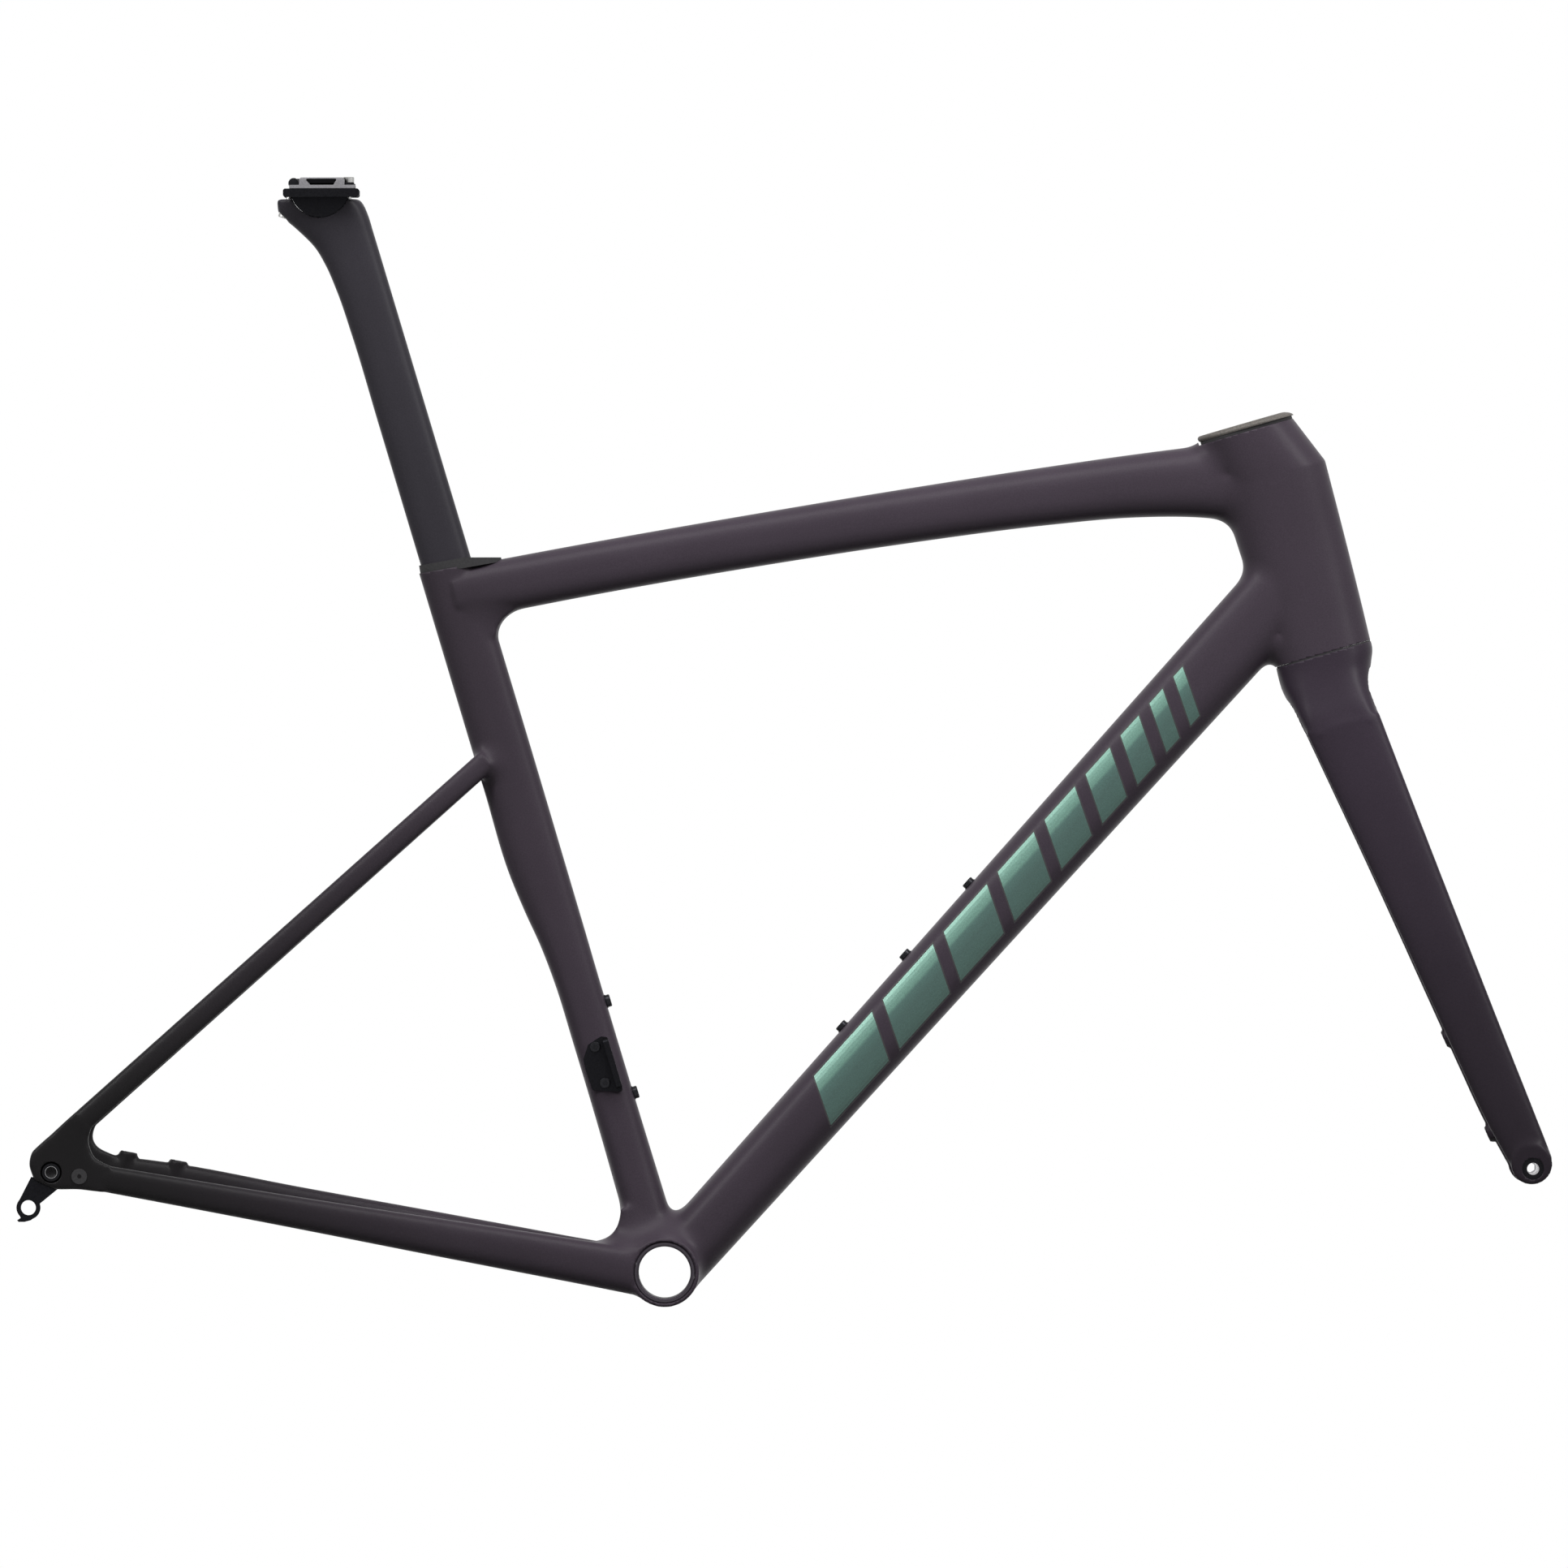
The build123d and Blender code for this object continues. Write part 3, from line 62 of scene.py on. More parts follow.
# %% Rows that describe a tube's sections
MM = 0.001
SEAT_ANGLE, SEAT_SETBACK = 73.45, 4.0
HEAD_ANGLE, RAKE = 74.0, 43.6
FRONT_AXLE, REAR_AXLE = (581.1, 68.4), (-409.7, 68.4)
STEER_FOOT = (FRONT_AXLE[0] - RAKE * sin(radians(HEAD_ANGLE)),
              FRONT_AXLE[1] - RAKE * cos(radians(HEAD_ANGLE)))


def on_line(foot, climb, along, off=0.0):
    """A side-view point along a line that climbs backward (over 90) or forward, and off it to the front."""
    c, s = cos(radians(climb)), sin(radians(climb))
    return (foot[0] + along * c + off * s, foot[1] + along * s - off * c)


def seat_point(along, off=0.0):
    return on_line((-SEAT_SETBACK, 0.0), 180 - SEAT_ANGLE, along, off)


def steer_point(along, off=0.0):
    return on_line(STEER_FOOT, 180 - HEAD_ANGLE, along, off)


def row(point, climb, fore, aft, half_width, power=2.5, y=0.0):
    return [point[0], y, point[1], climb - 90.0, fore, aft, half_width, power]


def seat_row(along, fore, aft, half_width, power=2.5):
    return row(seat_point(along), 180 - SEAT_ANGLE, fore, aft, half_width, power)


def steer_row(along, fore, aft, half_width, power=2.5, y=0.0):
    middle = (fore - aft) / 2
    reach = (fore + aft) / 2
    return row(steer_point(along, middle), 180 - HEAD_ANGLE, reach, reach, half_width, power, y)


print("steering axis meets the axle's level at", [round(v, 1) for v in STEER_FOOT])

# %% [markdown]
# ## Lofting a tube
# A tube is a loft: one closed outline per row, with quads between neighbours. Between the rows the
# numbers are eased with a cubic curve, so a tube swells and tapers as smoothly as a real mould.

# %% Loft a closed form from rows
RING_POINTS = 72


def eased(rows, steps):
    """Rows filled in between with a cubic whose slopes follow the neighbours."""
    table = np.array(rows, float)
    knots = np.concatenate([[0], np.cumsum(np.linalg.norm(np.diff(table[:, :3], axis=0), axis=1))])
    if len(table) > 2:
        slopes = np.gradient(table, knots, axis=0)
    else:
        slopes = np.tile((table[1] - table[0]) / knots[1], (2, 1))
    filled = []
    for i in range(len(table) - 1):
        span = knots[i + 1] - knots[i]
        for k in range(steps):
            t = k / steps
            h = (2 * t**3 - 3 * t**2 + 1, t**3 - 2 * t**2 + t, 3 * t**2 - 2 * t**3, t**3 - t**2)
            start = h[0] * table[i] + h[1] * span * slopes[i]
            filled.append(start + h[2] * table[i + 1] + h[3] * span * slopes[i + 1])
    filled.append(table[-1])
    return filled


def outline(values):
    x, y, z, lean, fore, aft, half_width, power = values
    c, s = cos(radians(lean)), sin(radians(lean))
    points = []
    for i in range(RING_POINTS):
        turn = 2 * pi * i / RING_POINTS
        a, b = cos(turn), sin(turn)
        u = (fore if a > 0 else aft) * copysign(abs(a) ** (2 / power), a)
        v = half_width * copysign(abs(b) ** (2 / power), b)
        points.append(((x + u * c) * MM, (y + v) * MM, (z + u * s) * MM))
    return points


def in_scene(name, data):
    piece = bpy.data.objects.new(name, data)
    bpy.context.scene.collection.objects.link(piece)
    return piece


def add_mesh(name, points, faces):
    mesh = bpy.data.meshes.new(name)
    mesh.from_pydata(points, [], faces)
    mesh.update()
    return in_scene(name, mesh)


def loft(name, rows, steps=8, easing=True):
    rings = [outline(values) for values in (eased(rows, steps) if easing else rows)]
    points = [p for ring in rings for p in ring]
    faces = []
    for k in range(len(rings) - 1):
        for i in range(RING_POINTS):
            j = (i + 1) % RING_POINTS
            a, b = k * RING_POINTS, (k + 1) * RING_POINTS
            faces.append((a + i, a + j, b + j, b + i))
    faces.append(tuple(range(RING_POINTS)))
    faces.append(tuple((len(rings) - 1) * RING_POINTS + i for i in range(RING_POINTS)))
    piece = add_mesh(name, points, faces)
    face_outward(piece)
    return piece


def face_outward(piece):
    work = bmesh.new()
    work.from_mesh(piece.data)
    bmesh.ops.recalc_face_normals(work, faces=work.faces)
    work.to_mesh(piece.data)
    work.free()


def cylinder(name, start, end, radius, sides=72):
    """A closed cylinder between two points given in millimetres."""
    a, b = Vector(start) * MM, Vector(end) * MM
    turn = (b - a).to_track_quat("Z", "Y").to_matrix().to_4x4()
    work = bmesh.new()
    bmesh.ops.create_cone(work, cap_ends=True, segments=sides, radius1=radius * MM, radius2=radius * MM,
                          depth=(b - a).length, matrix=Matrix.Translation((a + b) / 2) @ turn)
    mesh = bpy.data.meshes.new(name)
    work.to_mesh(mesh)
    work.free()
    return in_scene(name, mesh)


def slab(name, corners, y_start, y_end):
    """A side-view outline of (x, z) corners, raised from y_start to y_end."""
    n = len(corners)
    points = [(x * MM, y * MM, z * MM) for y in (y_start, y_end) for x, z in corners]
    faces = [tuple(range(n)), tuple(range(n, 2 * n))]
    faces += [(i, (i + 1) % n, n + (i + 1) % n, n + i) for i in range(n)]
    piece = add_mesh(name, points, faces)
    face_outward(piece)
    return piece


def turned(name, x, z, profile, sides=160):
    """A solid turned about an axis across the frame, from (radius, y) points that end on the axis."""
    points, faces = [], []
    for radius, y in profile:
        for i in range(sides):
            turn = 2 * pi * i / sides
            points.append(((x + radius * cos(turn)) * MM, y * MM, (z + radius * sin(turn)) * MM))
    for ring in range(len(profile) - 1):
        for i in range(sides):
            a, b = ring * sides + i, ring * sides + (i + 1) % sides
            faces.append((a, b, b + sides, a + sides))
    faces += [tuple(range(sides)), tuple(range(len(points) - sides, len(points)))]
    piece = add_mesh(name, points, faces)
    face_outward(piece)
    return piece


# %% [markdown]
# ## The frame's forms
# These are the outside forms of the same tubes that the engineering model holds as hollow parts.

# %% Front triangle and bottom bracket
HEAD_FOOT, HEAD_TOP = 370.1, 527.0
DOWN_CLIMB, DOWN_START, DOWN_LENGTH = 47.88, (0.0, -2.4), 620.0
SHELL_RADIUS, SHELL_HALF = 23.1, 34.0
STAY_CLIMB, STAY_START = 41.65, (-388.1, 103.3)
CHAIN_CLIMB = -10.8


def down_section(along):
    """The down tube's half depth and half width at a distance from the bottom bracket."""
    share = along / DOWN_LENGTH
    return 20.7 + 4.7 * share, 26.0 - 3.5 * share


head_kink = HEAD_TOP - 33      # the head tube's front edge bends here
head_low = [steer_row(*r) for r in (
    (HEAD_FOOT - 3, 38.0, 27.2, 27.2, 2.3), (HEAD_FOOT + 22, 39.2, 27.8, 25.6, 2.3),
    (HEAD_FOOT + 65, 40.8, 29.2, 24.4, 2.3), (head_kink, 42.5, 31.0, 26.8, 2.3))]
head_high = [steer_row(*r) for r in (
    (head_kink, 42.5, 31.0, 26.8, 2.3), (HEAD_TOP + 3, 28.4, 34.7, 29.4, 2.3))]
seat_rows = [seat_row(*r) for r in (
    (-6, 19.2, 12.8, 24.0), (51, 18.7, 11.7, 18.0), (110, 18.3, 10.9, 14.6), (165, 18.2, 10.9, 13.6),
    (204, 18.2, 11.2, 13.6), (232, 18.4, 13.2, 13.6), (258, 18.5, 16.8, 13.6), (285, 18.6, 19.5, 13.6),
    (340, 18.8, 19.5, 13.6), (430, 18.8, 19.5, 13.6), (510, 18.8, 19.5, 13.6))]
down_rows = []
for along in (0, 160, 320, 480, 614):
    depth, width = down_section(along)
    down_rows.append(row(on_line(DOWN_START, DOWN_CLIMB, along), DOWN_CLIMB, depth, depth, width, 2.7))
top_rows = []
for x, z, climb, depth in (
        (-140.0, 454.0, 10.6, 17.9), (-47.8, 471.4, 10.3, 17.5), (65.9, 490.9, 9.1, 17.6),
        (161.0, 505.9, 8.3, 18.2), (256.4, 519.3, 7.0, 19.4), (313.5, 525.8, 6.0, 21.0),
        (352.0, 528.4, 4.0, 23.3), (390.0, 529.0, 2.0, 27.0)):
    width = 15.5 + 4.5 * ((x + 140) / 540) ** 2
    top_rows.append(row((x, z), climb, depth, depth, width, 2.6))
frame_forms = [
    loft("head_low", head_low), loft("head_high", head_high, easing=False), loft("seat_form", seat_rows),
    loft("down_form", down_rows), loft("top_form", top_rows),
    cylinder("shell_form", (0, -SHELL_HALF, 0), (0, SHELL_HALF, 0), SHELL_RADIUS),
]
print("front triangle forms", len(frame_forms))

# %% Stays and dropouts
chain_tables = {
    -1: ((-374.0, 64.1, 8.8, 75.3, 5.6), (-330.0, 56.1, 9.3, 68.5, 6.2), (-250.0, 41.6, 10.5, 54.5, 7.4),
         (-150.0, 23.7, 12.7, 37.5, 8.6), (-100.0, 14.9, 13.8, 31.2, 9.2), (-55.0, 7.0, 14.7, 28.0, 9.8),
         (-8.0, -1.4, 15.8, 24.0, 9.8)),
    1: ((-374.0, 67.0, 11.7, 75.3, 5.6), (-330.0, 60.3, 12.6, 68.5, 6.2), (-250.0, 44.9, 12.9, 54.5, 7.4),
        (-150.0, 25.6, 14.0, 37.5, 8.6), (-100.0, 15.8, 14.6, 31.2, 9.2), (-55.0, 7.2, 14.9, 28.0, 9.8),
        (-8.0, -1.4, 15.8, 24.0, 9.8)),
}
STAY_DEPTH, STAY_WIDTH = 7.4, 5.2
stay_spread = ((-4, 75.9), (60, 66.3), (180, 45.0), (300, 23.6), (362, 13.0))
HUB_FACE, DROPOUT_FACE = 71.0, 80.0
for side in (-1, 1):
    rows = [row((x, z), CHAIN_CLIMB, d, d, w, 2.5, side * y) for x, z, d, y, w in chain_tables[side]]
    frame_forms.append(loft("chain_form", rows))
    rows = []
    for along, y in stay_spread:
        middle = on_line(STAY_START, STAY_CLIMB, along)
        rows.append(row(middle, STAY_CLIMB, STAY_DEPTH, STAY_DEPTH, STAY_WIDTH, 2.4, side * y))
    frame_forms.append(loft("stay_form", rows))
    x, z, depth = chain_tables[side][0][:3]
    c, s = cos(radians(CHAIN_CLIMB)), sin(radians(CHAIN_CLIMB))
    low, high = (x + 2 + depth * s, z - 0.4 - depth * c), (x + 2 - depth * s, z - 0.4 + depth * c)
    corners = [
        *[on_line(STAY_START, STAY_CLIMB, 0, off) for off in (STAY_DEPTH, -STAY_DEPTH)],
        (-423.3, 82.0), (-424.9, 73.0), (-421.0, 62.6), (-407.3, 56.6), (-391.7, 57.0), low, high,
        (-381.5, high[1] + 5.2), (-385.6, 89.6)]
    near, far = sorted((side * HUB_FACE, side * DROPOUT_FACE))
    frame_forms.append(slab("dropout_form", corners, near, far))

# Small webs fill two corners where the cloth turns from one tube into the next: under the top tube,
# and over each chainstay behind the seat tube.
corner_web = [(-118, 448), (-98, 449), (-101.5, 443.6), (-108, 439.2), (-112, 433), (-112.6, 426),
              (-118, 430)]
frame_forms.append(slab("corner_web", corner_web, -10.5, 10.5))
stay_web = [(-20, 10), (-48, 10), (-50, 20), (-42, 21), (-35.5, 24.5), (-31.5, 30), (-29.5, 37), (-29, 43),
            (-20, 43)]
for near, far in ((-19, -11), (11, 19)):
    frame_forms.append(slab("stay_web", stay_web, near, far))

# The flat-mount rear brake stands on two round seats on top of the brake-side chainstay.
BRAKE_MIDDLE, BRAKE_SPACING, PAD_RISE, PAD_RADIUS = -346.1, 34.0, 15.0, 6.2
pad_axes = []
for step in (-0.5, 0.5):
    pad_x = BRAKE_MIDDLE + step * BRAKE_SPACING * cos(radians(CHAIN_CLIMB))
    share = (pad_x + 372.0) / 122.0
    foot = (pad_x, 75.3 - share * 20.8, 67.6 - share * 21.7)
    lean = radians(CHAIN_CLIMB + 90)
    pad_axes.append((foot, (cos(lean), 0.0, sin(lean))))


def along_axis(axis, distance):
    """A point at a distance along an axis given as (foot, direction)."""
    foot, direction = axis
    return tuple(a + distance * b for a, b in zip(foot, direction))


for axis in pad_axes:
    frame_forms.append(cylinder("pad_form", along_axis(axis, 0), along_axis(axis, PAD_RISE), PAD_RADIUS))
print("frame forms", len(frame_forms))

# %% [markdown]
# ## One moulded skin
# Carbon cloth is laid over a form and cured, so where tubes meet, the skin flows from one into the
# next through a soft fillet. A boolean union leaves a hard crease there. Here the forms are joined by
# a voxel remesh, the points are pulled back onto the exact forms, and the creases are then filled:
# each point near a junction may move outward, never inward, towards the mean of its neighbours.

# %% Join the forms and fill the creases
VOXEL, FINE_VOXEL = 0.0016, 0.0012      # the post's lip is small, so it gets the finer one


def apply_modifiers(piece):
    graph = bpy.context.evaluated_depsgraph_get()
    mesh = bpy.data.meshes.new_from_object(piece.evaluated_get(graph))
    piece.modifiers.clear()
    piece.data = mesh
    return piece


def joined(name, parts):
    work = bmesh.new()
    for part in parts:
        work.from_mesh(part.data)
        bpy.data.objects.remove(part)
    mesh = bpy.data.meshes.new(name)
    work.to_mesh(mesh)
    work.free()
    return in_scene(name, mesh)


def one_skin(name, forms, voxel):
    """Forms merged into one surface, with every point put back on the nearest form."""
    piece = joined(name, forms)
    exact = BVHTree.FromObject(piece, bpy.context.evaluated_depsgraph_get())
    remesh = piece.modifiers.new("one skin", "REMESH")
    remesh.mode = "VOXEL"
    remesh.voxel_size = voxel
    apply_modifiers(piece)
    for vertex in piece.data.vertices:
        spot = exact.find_nearest(vertex.co, voxel)
        if spot[0] is not None:
            vertex.co = spot[0]
    piece.data.update()
    return piece


def neighbour_mean(points, edges, counts):
    total = np.zeros_like(points)
    for axis in range(3):
        total[:, axis] = np.bincount(edges[:, 0], points[edges[:, 1], axis], len(points))
        total[:, axis] += np.bincount(edges[:, 1], points[edges[:, 0], axis], len(points))
    return total / counts[:, None]


def soften(piece, spots, rounds, fill_only=True):
    """Spots are (centre in mm, radius in mm). Creases there swell into fillets; edges may round off too."""
    mesh = piece.data
    size = len(mesh.vertices)
    points = np.empty(size * 3)
    mesh.vertices.foreach_get("co", points)
    points = points.reshape(-1, 3)
    edges = np.empty(len(mesh.edges) * 2, int)
    mesh.edges.foreach_get("vertices", edges)
    edges = edges.reshape(-1, 2)
    counts = np.bincount(edges.ravel(), minlength=size).astype(float)
    counts[counts == 0] = 1
    weight = np.zeros(size)
    for centre, radius in spots:
        reach = np.linalg.norm(points - np.array(centre) * MM, axis=1) / (radius * MM)
        weight = np.maximum(weight, np.clip(1.6 * (1 - reach), 0, 1))
    near = weight > 0
    for step in range(rounds):
        if step % 10 == 0:
            mesh.vertices.foreach_set("co", points.ravel())
            mesh.update()
            normals = np.empty(size * 3)
            mesh.vertices.foreach_get("normal", normals)
            normals = normals.reshape(-1, 3)
        pull = neighbour_mean(points, edges, counts) - points
        outward = (pull * normals).sum(axis=1, keepdims=True)
        sideways = pull - outward * normals
        inward_too = outward if not fill_only else np.maximum(outward, 0)
        move = inward_too * normals + 0.5 * sideways
        points[near] += (0.9 * weight[:, None] * move)[near]
    # Light passes, in and out by turns, take off the voxels' small steps without shrinking the form.
    for step in range(4 if fill_only else 0):
        pull = neighbour_mean(points, edges, counts) - points
        points += (0.5 if step % 2 == 0 else -0.52) * pull
    mesh.vertices.foreach_set("co", points.ravel())
    mesh.update()
    print(piece.name, "points", size, "near a junction", int(near.sum()))


def shade_smooth(piece):
    for polygon in piece.data.polygons:
        polygon.use_smooth = True


frame_skin = one_skin("frame_skin", frame_forms, VOXEL)
junctions = [
    ((382, 0, 497), 42), ((384, 0, 462), 40), ((404, 0, 405), 30), ((362, 0, 552), 30),
    ((-104, 0, 440), 34), ((-115, 0, 478), 14), ((8, 0, 40), 44), ((-26, 20, 28), 40), ((-26, -20, 28), 40),
    ((30, 0, -8), 26), ((-30, 24, -14), 24), ((-30, -24, -14), 24), ((0, 0, 0), 40),
    ((-130, 14, 330), 34), ((-130, -14, 330), 34), ((-382, 74, 82), 22), ((-382, -74, 82), 22),
    ((-376, 74, 64), 16), ((-376, -74, 64), 16),
]
JUNCTION_ROUNDS, RIM_ROUNDS = 340, 12
soften(frame_skin, junctions, JUNCTION_ROUNDS)
rims = [((-404, side * 75.5, 76), 34) for side in (-1, 1)]
soften(frame_skin, rims, RIM_ROUNDS, fill_only=False)

# %% [markdown]
# ## Cutting the skin to its fittings
# Bearings, the bottom bracket, the post and the bolts sit in bored holes with crisp edges, so those
# are cut last, after the soft shapes are finished.

# %% Bore and trim the frame's skin
SEAT_TOP, SEAT_TOP_SLOPE, SEAT_TOP_FRONT = (-132.3, 473.9), 9.9, -108.3
SOCKET_DEPTH, SOCKET_WIDTH = 17.2, 11.35       # half sizes of the post's socket
POCKET_FLOOR, POCKET_REACH, POCKET_WIDTH = 457.5, 33.0, 8.0
SLEEVE_RADIUS, SLEEVE_FACE = 20.06, 33.6       # the bottom bracket's threaded sleeve
MOUTH_RING = 0.9               # the shell's mouths are faced back a hair round the sleeve
HEAD_CAVITY = 22.6
UPPER_SEAT, LOWER_SEAT = (517.0, 26.06), (379.76, 23.56)    # each bearing seat's floor and radius


def cut(piece, cutters):
    """One boolean takes every cutter out of the piece."""
    tool = joined("cutter", cutters)
    modifier = piece.modifiers.new("cut", "BOOLEAN")
    modifier.operation = "DIFFERENCE"
    modifier.solver = "MANIFOLD"
    modifier.object = tool
    apply_modifiers(piece)
    bpy.data.objects.remove(tool)
    return piece


def across(name, x, z, radius, y_start, y_end):
    return cylinder(name, (x, y_start, z), (x, y_end, z), radius)


def steer_cylinder(start, end, radius, off=0.0):
    a, b = steer_point(start, off), steer_point(end, off)
    return cylinder("steer_bore", (a[0], 0, a[1]), (b[0], 0, b[1]), radius)


def square_cut(corner_points, half_width=60):
    return slab("trim", corner_points, -half_width, half_width)


def steer_trim(start, end, fore, aft):
    """A trimming block square to the steering axis."""
    corners = ((start, fore), (start, aft), (end, aft), (end, fore))
    return square_cut([steer_point(*corner) for corner in corners])


slope = SEAT_TOP_SLOPE
flat_front = on_line(SEAT_TOP, slope, (SEAT_TOP_FRONT - SEAT_TOP[0]) / cos(radians(slope)))
over_seat = [on_line(SEAT_TOP, slope, -60), flat_front, (flat_front[0], flat_front[1] + 60),
             on_line(SEAT_TOP, slope, -60, -60)]
socket_rows = [seat_row(t, SOCKET_DEPTH, SOCKET_DEPTH, SOCKET_WIDTH) for t in (283, 520)]
# Cutters that overlap each other leave material behind, so they go in cuts of their own.
cut(frame_skin, [steer_trim(HEAD_FOOT, HEAD_FOOT - 30, 60, -34), steer_trim(HEAD_TOP, HEAD_TOP + 30, 60, -36),
                 square_cut(over_seat), across("bb_bore", 0, 0, SLEEVE_RADIUS, -50, 50)])
cut(frame_skin, [loft("socket", socket_rows, 2)])
pocket = [seat_point(POCKET_FLOOR, 0), seat_point(POCKET_FLOOR, POCKET_REACH), seat_point(533, POCKET_REACH),
          seat_point(533, 0)]
mouths = [across("mouth", 0, 0, SLEEVE_RADIUS + MOUTH_RING, *ends)
          for ends in ((-50, -SLEEVE_FACE), (SLEEVE_FACE, 50))]
cut(frame_skin, [slab("pocket", pocket, -POCKET_WIDTH, POCKET_WIDTH), steer_cylinder(360, 540, HEAD_CAVITY),
                 *mouths])
cut(frame_skin, [steer_cylinder(UPPER_SEAT[0], 540, UPPER_SEAT[1]),
                 steer_cylinder(360, LOWER_SEAT[0], LOWER_SEAT[1])])

# %% Seats for the axle, the hanger, the grommet, the brake sleeves and the bottle bolts
GROMMET, GROMMET_RADIUS = (-390.9, 65.7), 4.3
AXLE_HOLE, AXLE_HEAD_SEAT = 6.05, 7.2
HANGER_SEAT, INSERT_SEAT = 12.35, 8.66
BRAKE_SLEEVE, BOTTLE_INSERT, BOSS_SPACING = 4.71, 4.66, 64.0
DOWN_BOSSES, SEAT_BOSS_LOW = (203.7, 267.7, 331.7), 119.9
down_boss_axes, seat_boss_axes = [], []
for along in DOWN_BOSSES:
    climb = radians(DOWN_CLIMB)
    x, z = on_line(DOWN_START, DOWN_CLIMB, along, -down_section(along)[0])
    down_boss_axes.append(((x, 0.0, z), (-sin(climb), 0.0, cos(climb))))
for along in (SEAT_BOSS_LOW, SEAT_BOSS_LOW + BOSS_SPACING):
    lean = radians(90 - SEAT_ANGLE)
    x, z = seat_point(along, 18.2)
    seat_boss_axes.append(((x, 0.0, z), (cos(lean), 0.0, sin(lean))))


def bore_along(axis, start, end, radius):
    return cylinder("bore", along_axis(axis, start), along_axis(axis, end), radius)


fittings = [
    across("eye", *REAR_AXLE, AXLE_HEAD_SEAT, -82, -77.4),
    across("grommet_hole", *GROMMET, GROMMET_RADIUS, -82, -70),
    across("hanger_seat", *REAR_AXLE, HANGER_SEAT, -75.3, -70),
    across("insert_seat", *REAR_AXLE, INSERT_SEAT, 70, 82)]
fittings += [bore_along(axis, -40, 30, BRAKE_SLEEVE) for axis in pad_axes]
fittings += [bore_along(axis, -0.5, 6, BOTTLE_INSERT) for axis in down_boss_axes + seat_boss_axes]
cut(frame_skin, fittings)
hanger_arm = [(-423.6, 65.8), (-399.6, 61.0), (-417.0, 46.9), (-433.2, 46.2)]
cut(frame_skin, [across("axle_hole", *REAR_AXLE, AXLE_HOLE, -82, -76),
                 slab("arm_seat", hanger_arm, -75.3, -70)])
print("frame skin faces", len(frame_skin.data.polygons))
shade_smooth(frame_skin)

# %% Hand the skin to the frame's body
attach(frame_skin, "frame")
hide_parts("head_tube", "top_tube", "down_tube", "seat_tube", "bottom_bracket_shell",
            "chainstay_drive_side", "chainstay_brake_side", "seatstay_drive_side", "seatstay_brake_side",
            "dropout_drive_side", "dropout_brake_side")

# %% [markdown]
# ## The fork
# The fork is its own moulding: a crown that fills the width of the head tube's foot and two blades
# that spread to the hub's width. It gets the same skin, and it rides on the steering body.

# %% Fork forms and skin
LEG_JOINT, CROWN_TOP = 318.0, 369.2
STEERER_SEAT, RACE_SEAT, FORK_INSERT, DRIVE_EYE = 13.9, 16.56, 3.46, 7.26      # radii of the fork's bores
HUB_HALF, TIP_THICKNESS, TIP_RADIUS, FRONT_PAD_RADIUS = 50.15, 10.1, 13.6, 5.9
CROWN_ROUNDS = 160
leg_rows = [
    (322, 29.6, -20.6, 0.0), (280, 33.1, -13.9, 0.12), (242, 36.3, -7.8, 0.24), (184, 41.4, 1.0, 0.42),
    (127, 46.5, 9.3, 0.60), (80, 50.8, 16.2, 0.75), (37, 54.9, 23.0, 0.89), (14, 57.0, 28.2, 0.96),
    (3.3, 57.9, 30.6, 1.0)]
crown_rows = [steer_row(*r) for r in (
    (CROWN_TOP + 3, 38.3, 27.4, 26.8, 2.3), (364.5, 38.0, 28.0, 27.2, 2.35), (354, 34.0, 28.0, 28.5, 2.6),
    (342, 30.8, 25.6, 31.0, 3.4), (330, 29.4, 23.0, 34.0, 5.0), (LEG_JOINT, 29.9, 19.9, 36.0, 7.0))]
crown_form = loft("crown_form", crown_rows)
ARCH_RADIUS, ARCH_HALF, ARCH_ROUND = 354.0, 22.0, 21.8
arch_turns = [radians(90 * i / 8) for i in range(9)]
arch_side = [(ARCH_RADIUS - ARCH_ROUND * (1 - cos(a)), ARCH_HALF - ARCH_ROUND * (1 - sin(a)))
             for a in arch_turns]
arch_profile = [(radius, -y) for radius, y in reversed(arch_side)] + arch_side
cut(crown_form, [turned("arch", *FRONT_AXLE, arch_profile)])
fork_forms = [crown_form]
leg_lean = radians(8.3)        # the blades' rear edge leans this far from the steering axis
out_x = -sin(radians(HEAD_ANGLE)) * cos(leg_lean) + cos(radians(HEAD_ANGLE)) * sin(leg_lean)
out_z = -cos(radians(HEAD_ANGLE)) * cos(leg_lean) - sin(radians(HEAD_ANGLE)) * sin(leg_lean)


def leg_middle(spread):
    """A leg's half thickness, and how far its middle stands from the wheel's plane."""
    half = 7.0 - 1.8 * spread
    return half, 22 + 28 * spread + half


front_pad_axes = []
for along in (98.5, 29.2):
    x, z = steer_point(along, 9.3 + 6.9 * (127.0 - along) / 47.0)
    front_pad_axes.append(((x, leg_middle(1 - along / LEG_JOINT)[1], z), (out_x, 0.0, out_z)))
    ends = [along_axis(front_pad_axes[-1], t) for t in (-3, 1.6)]
    fork_forms.append(cylinder("pad_form", *ends, FRONT_PAD_RADIUS))
for side in (-1, 1):
    rows = []
    for along, front, rear, spread in leg_rows:
        half, middle = leg_middle(spread)
        rows.append(steer_row(along, front, -rear, half, 2.6, side * middle))
    fork_forms.append(loft("leg_form", rows))
    near, far = sorted((side * HUB_HALF, side * (HUB_HALF + TIP_THICKNESS)))
    fork_forms.append(across("tip_form", FRONT_AXLE[0] - 0.9, FRONT_AXLE[1] + 3.3, TIP_RADIUS, near, far))
fork_skin = one_skin("fork_skin", fork_forms, VOXEL)
arch_sides = [steer_point(LEG_JOINT + 4, 5.0), steer_point(350, 4.0)]
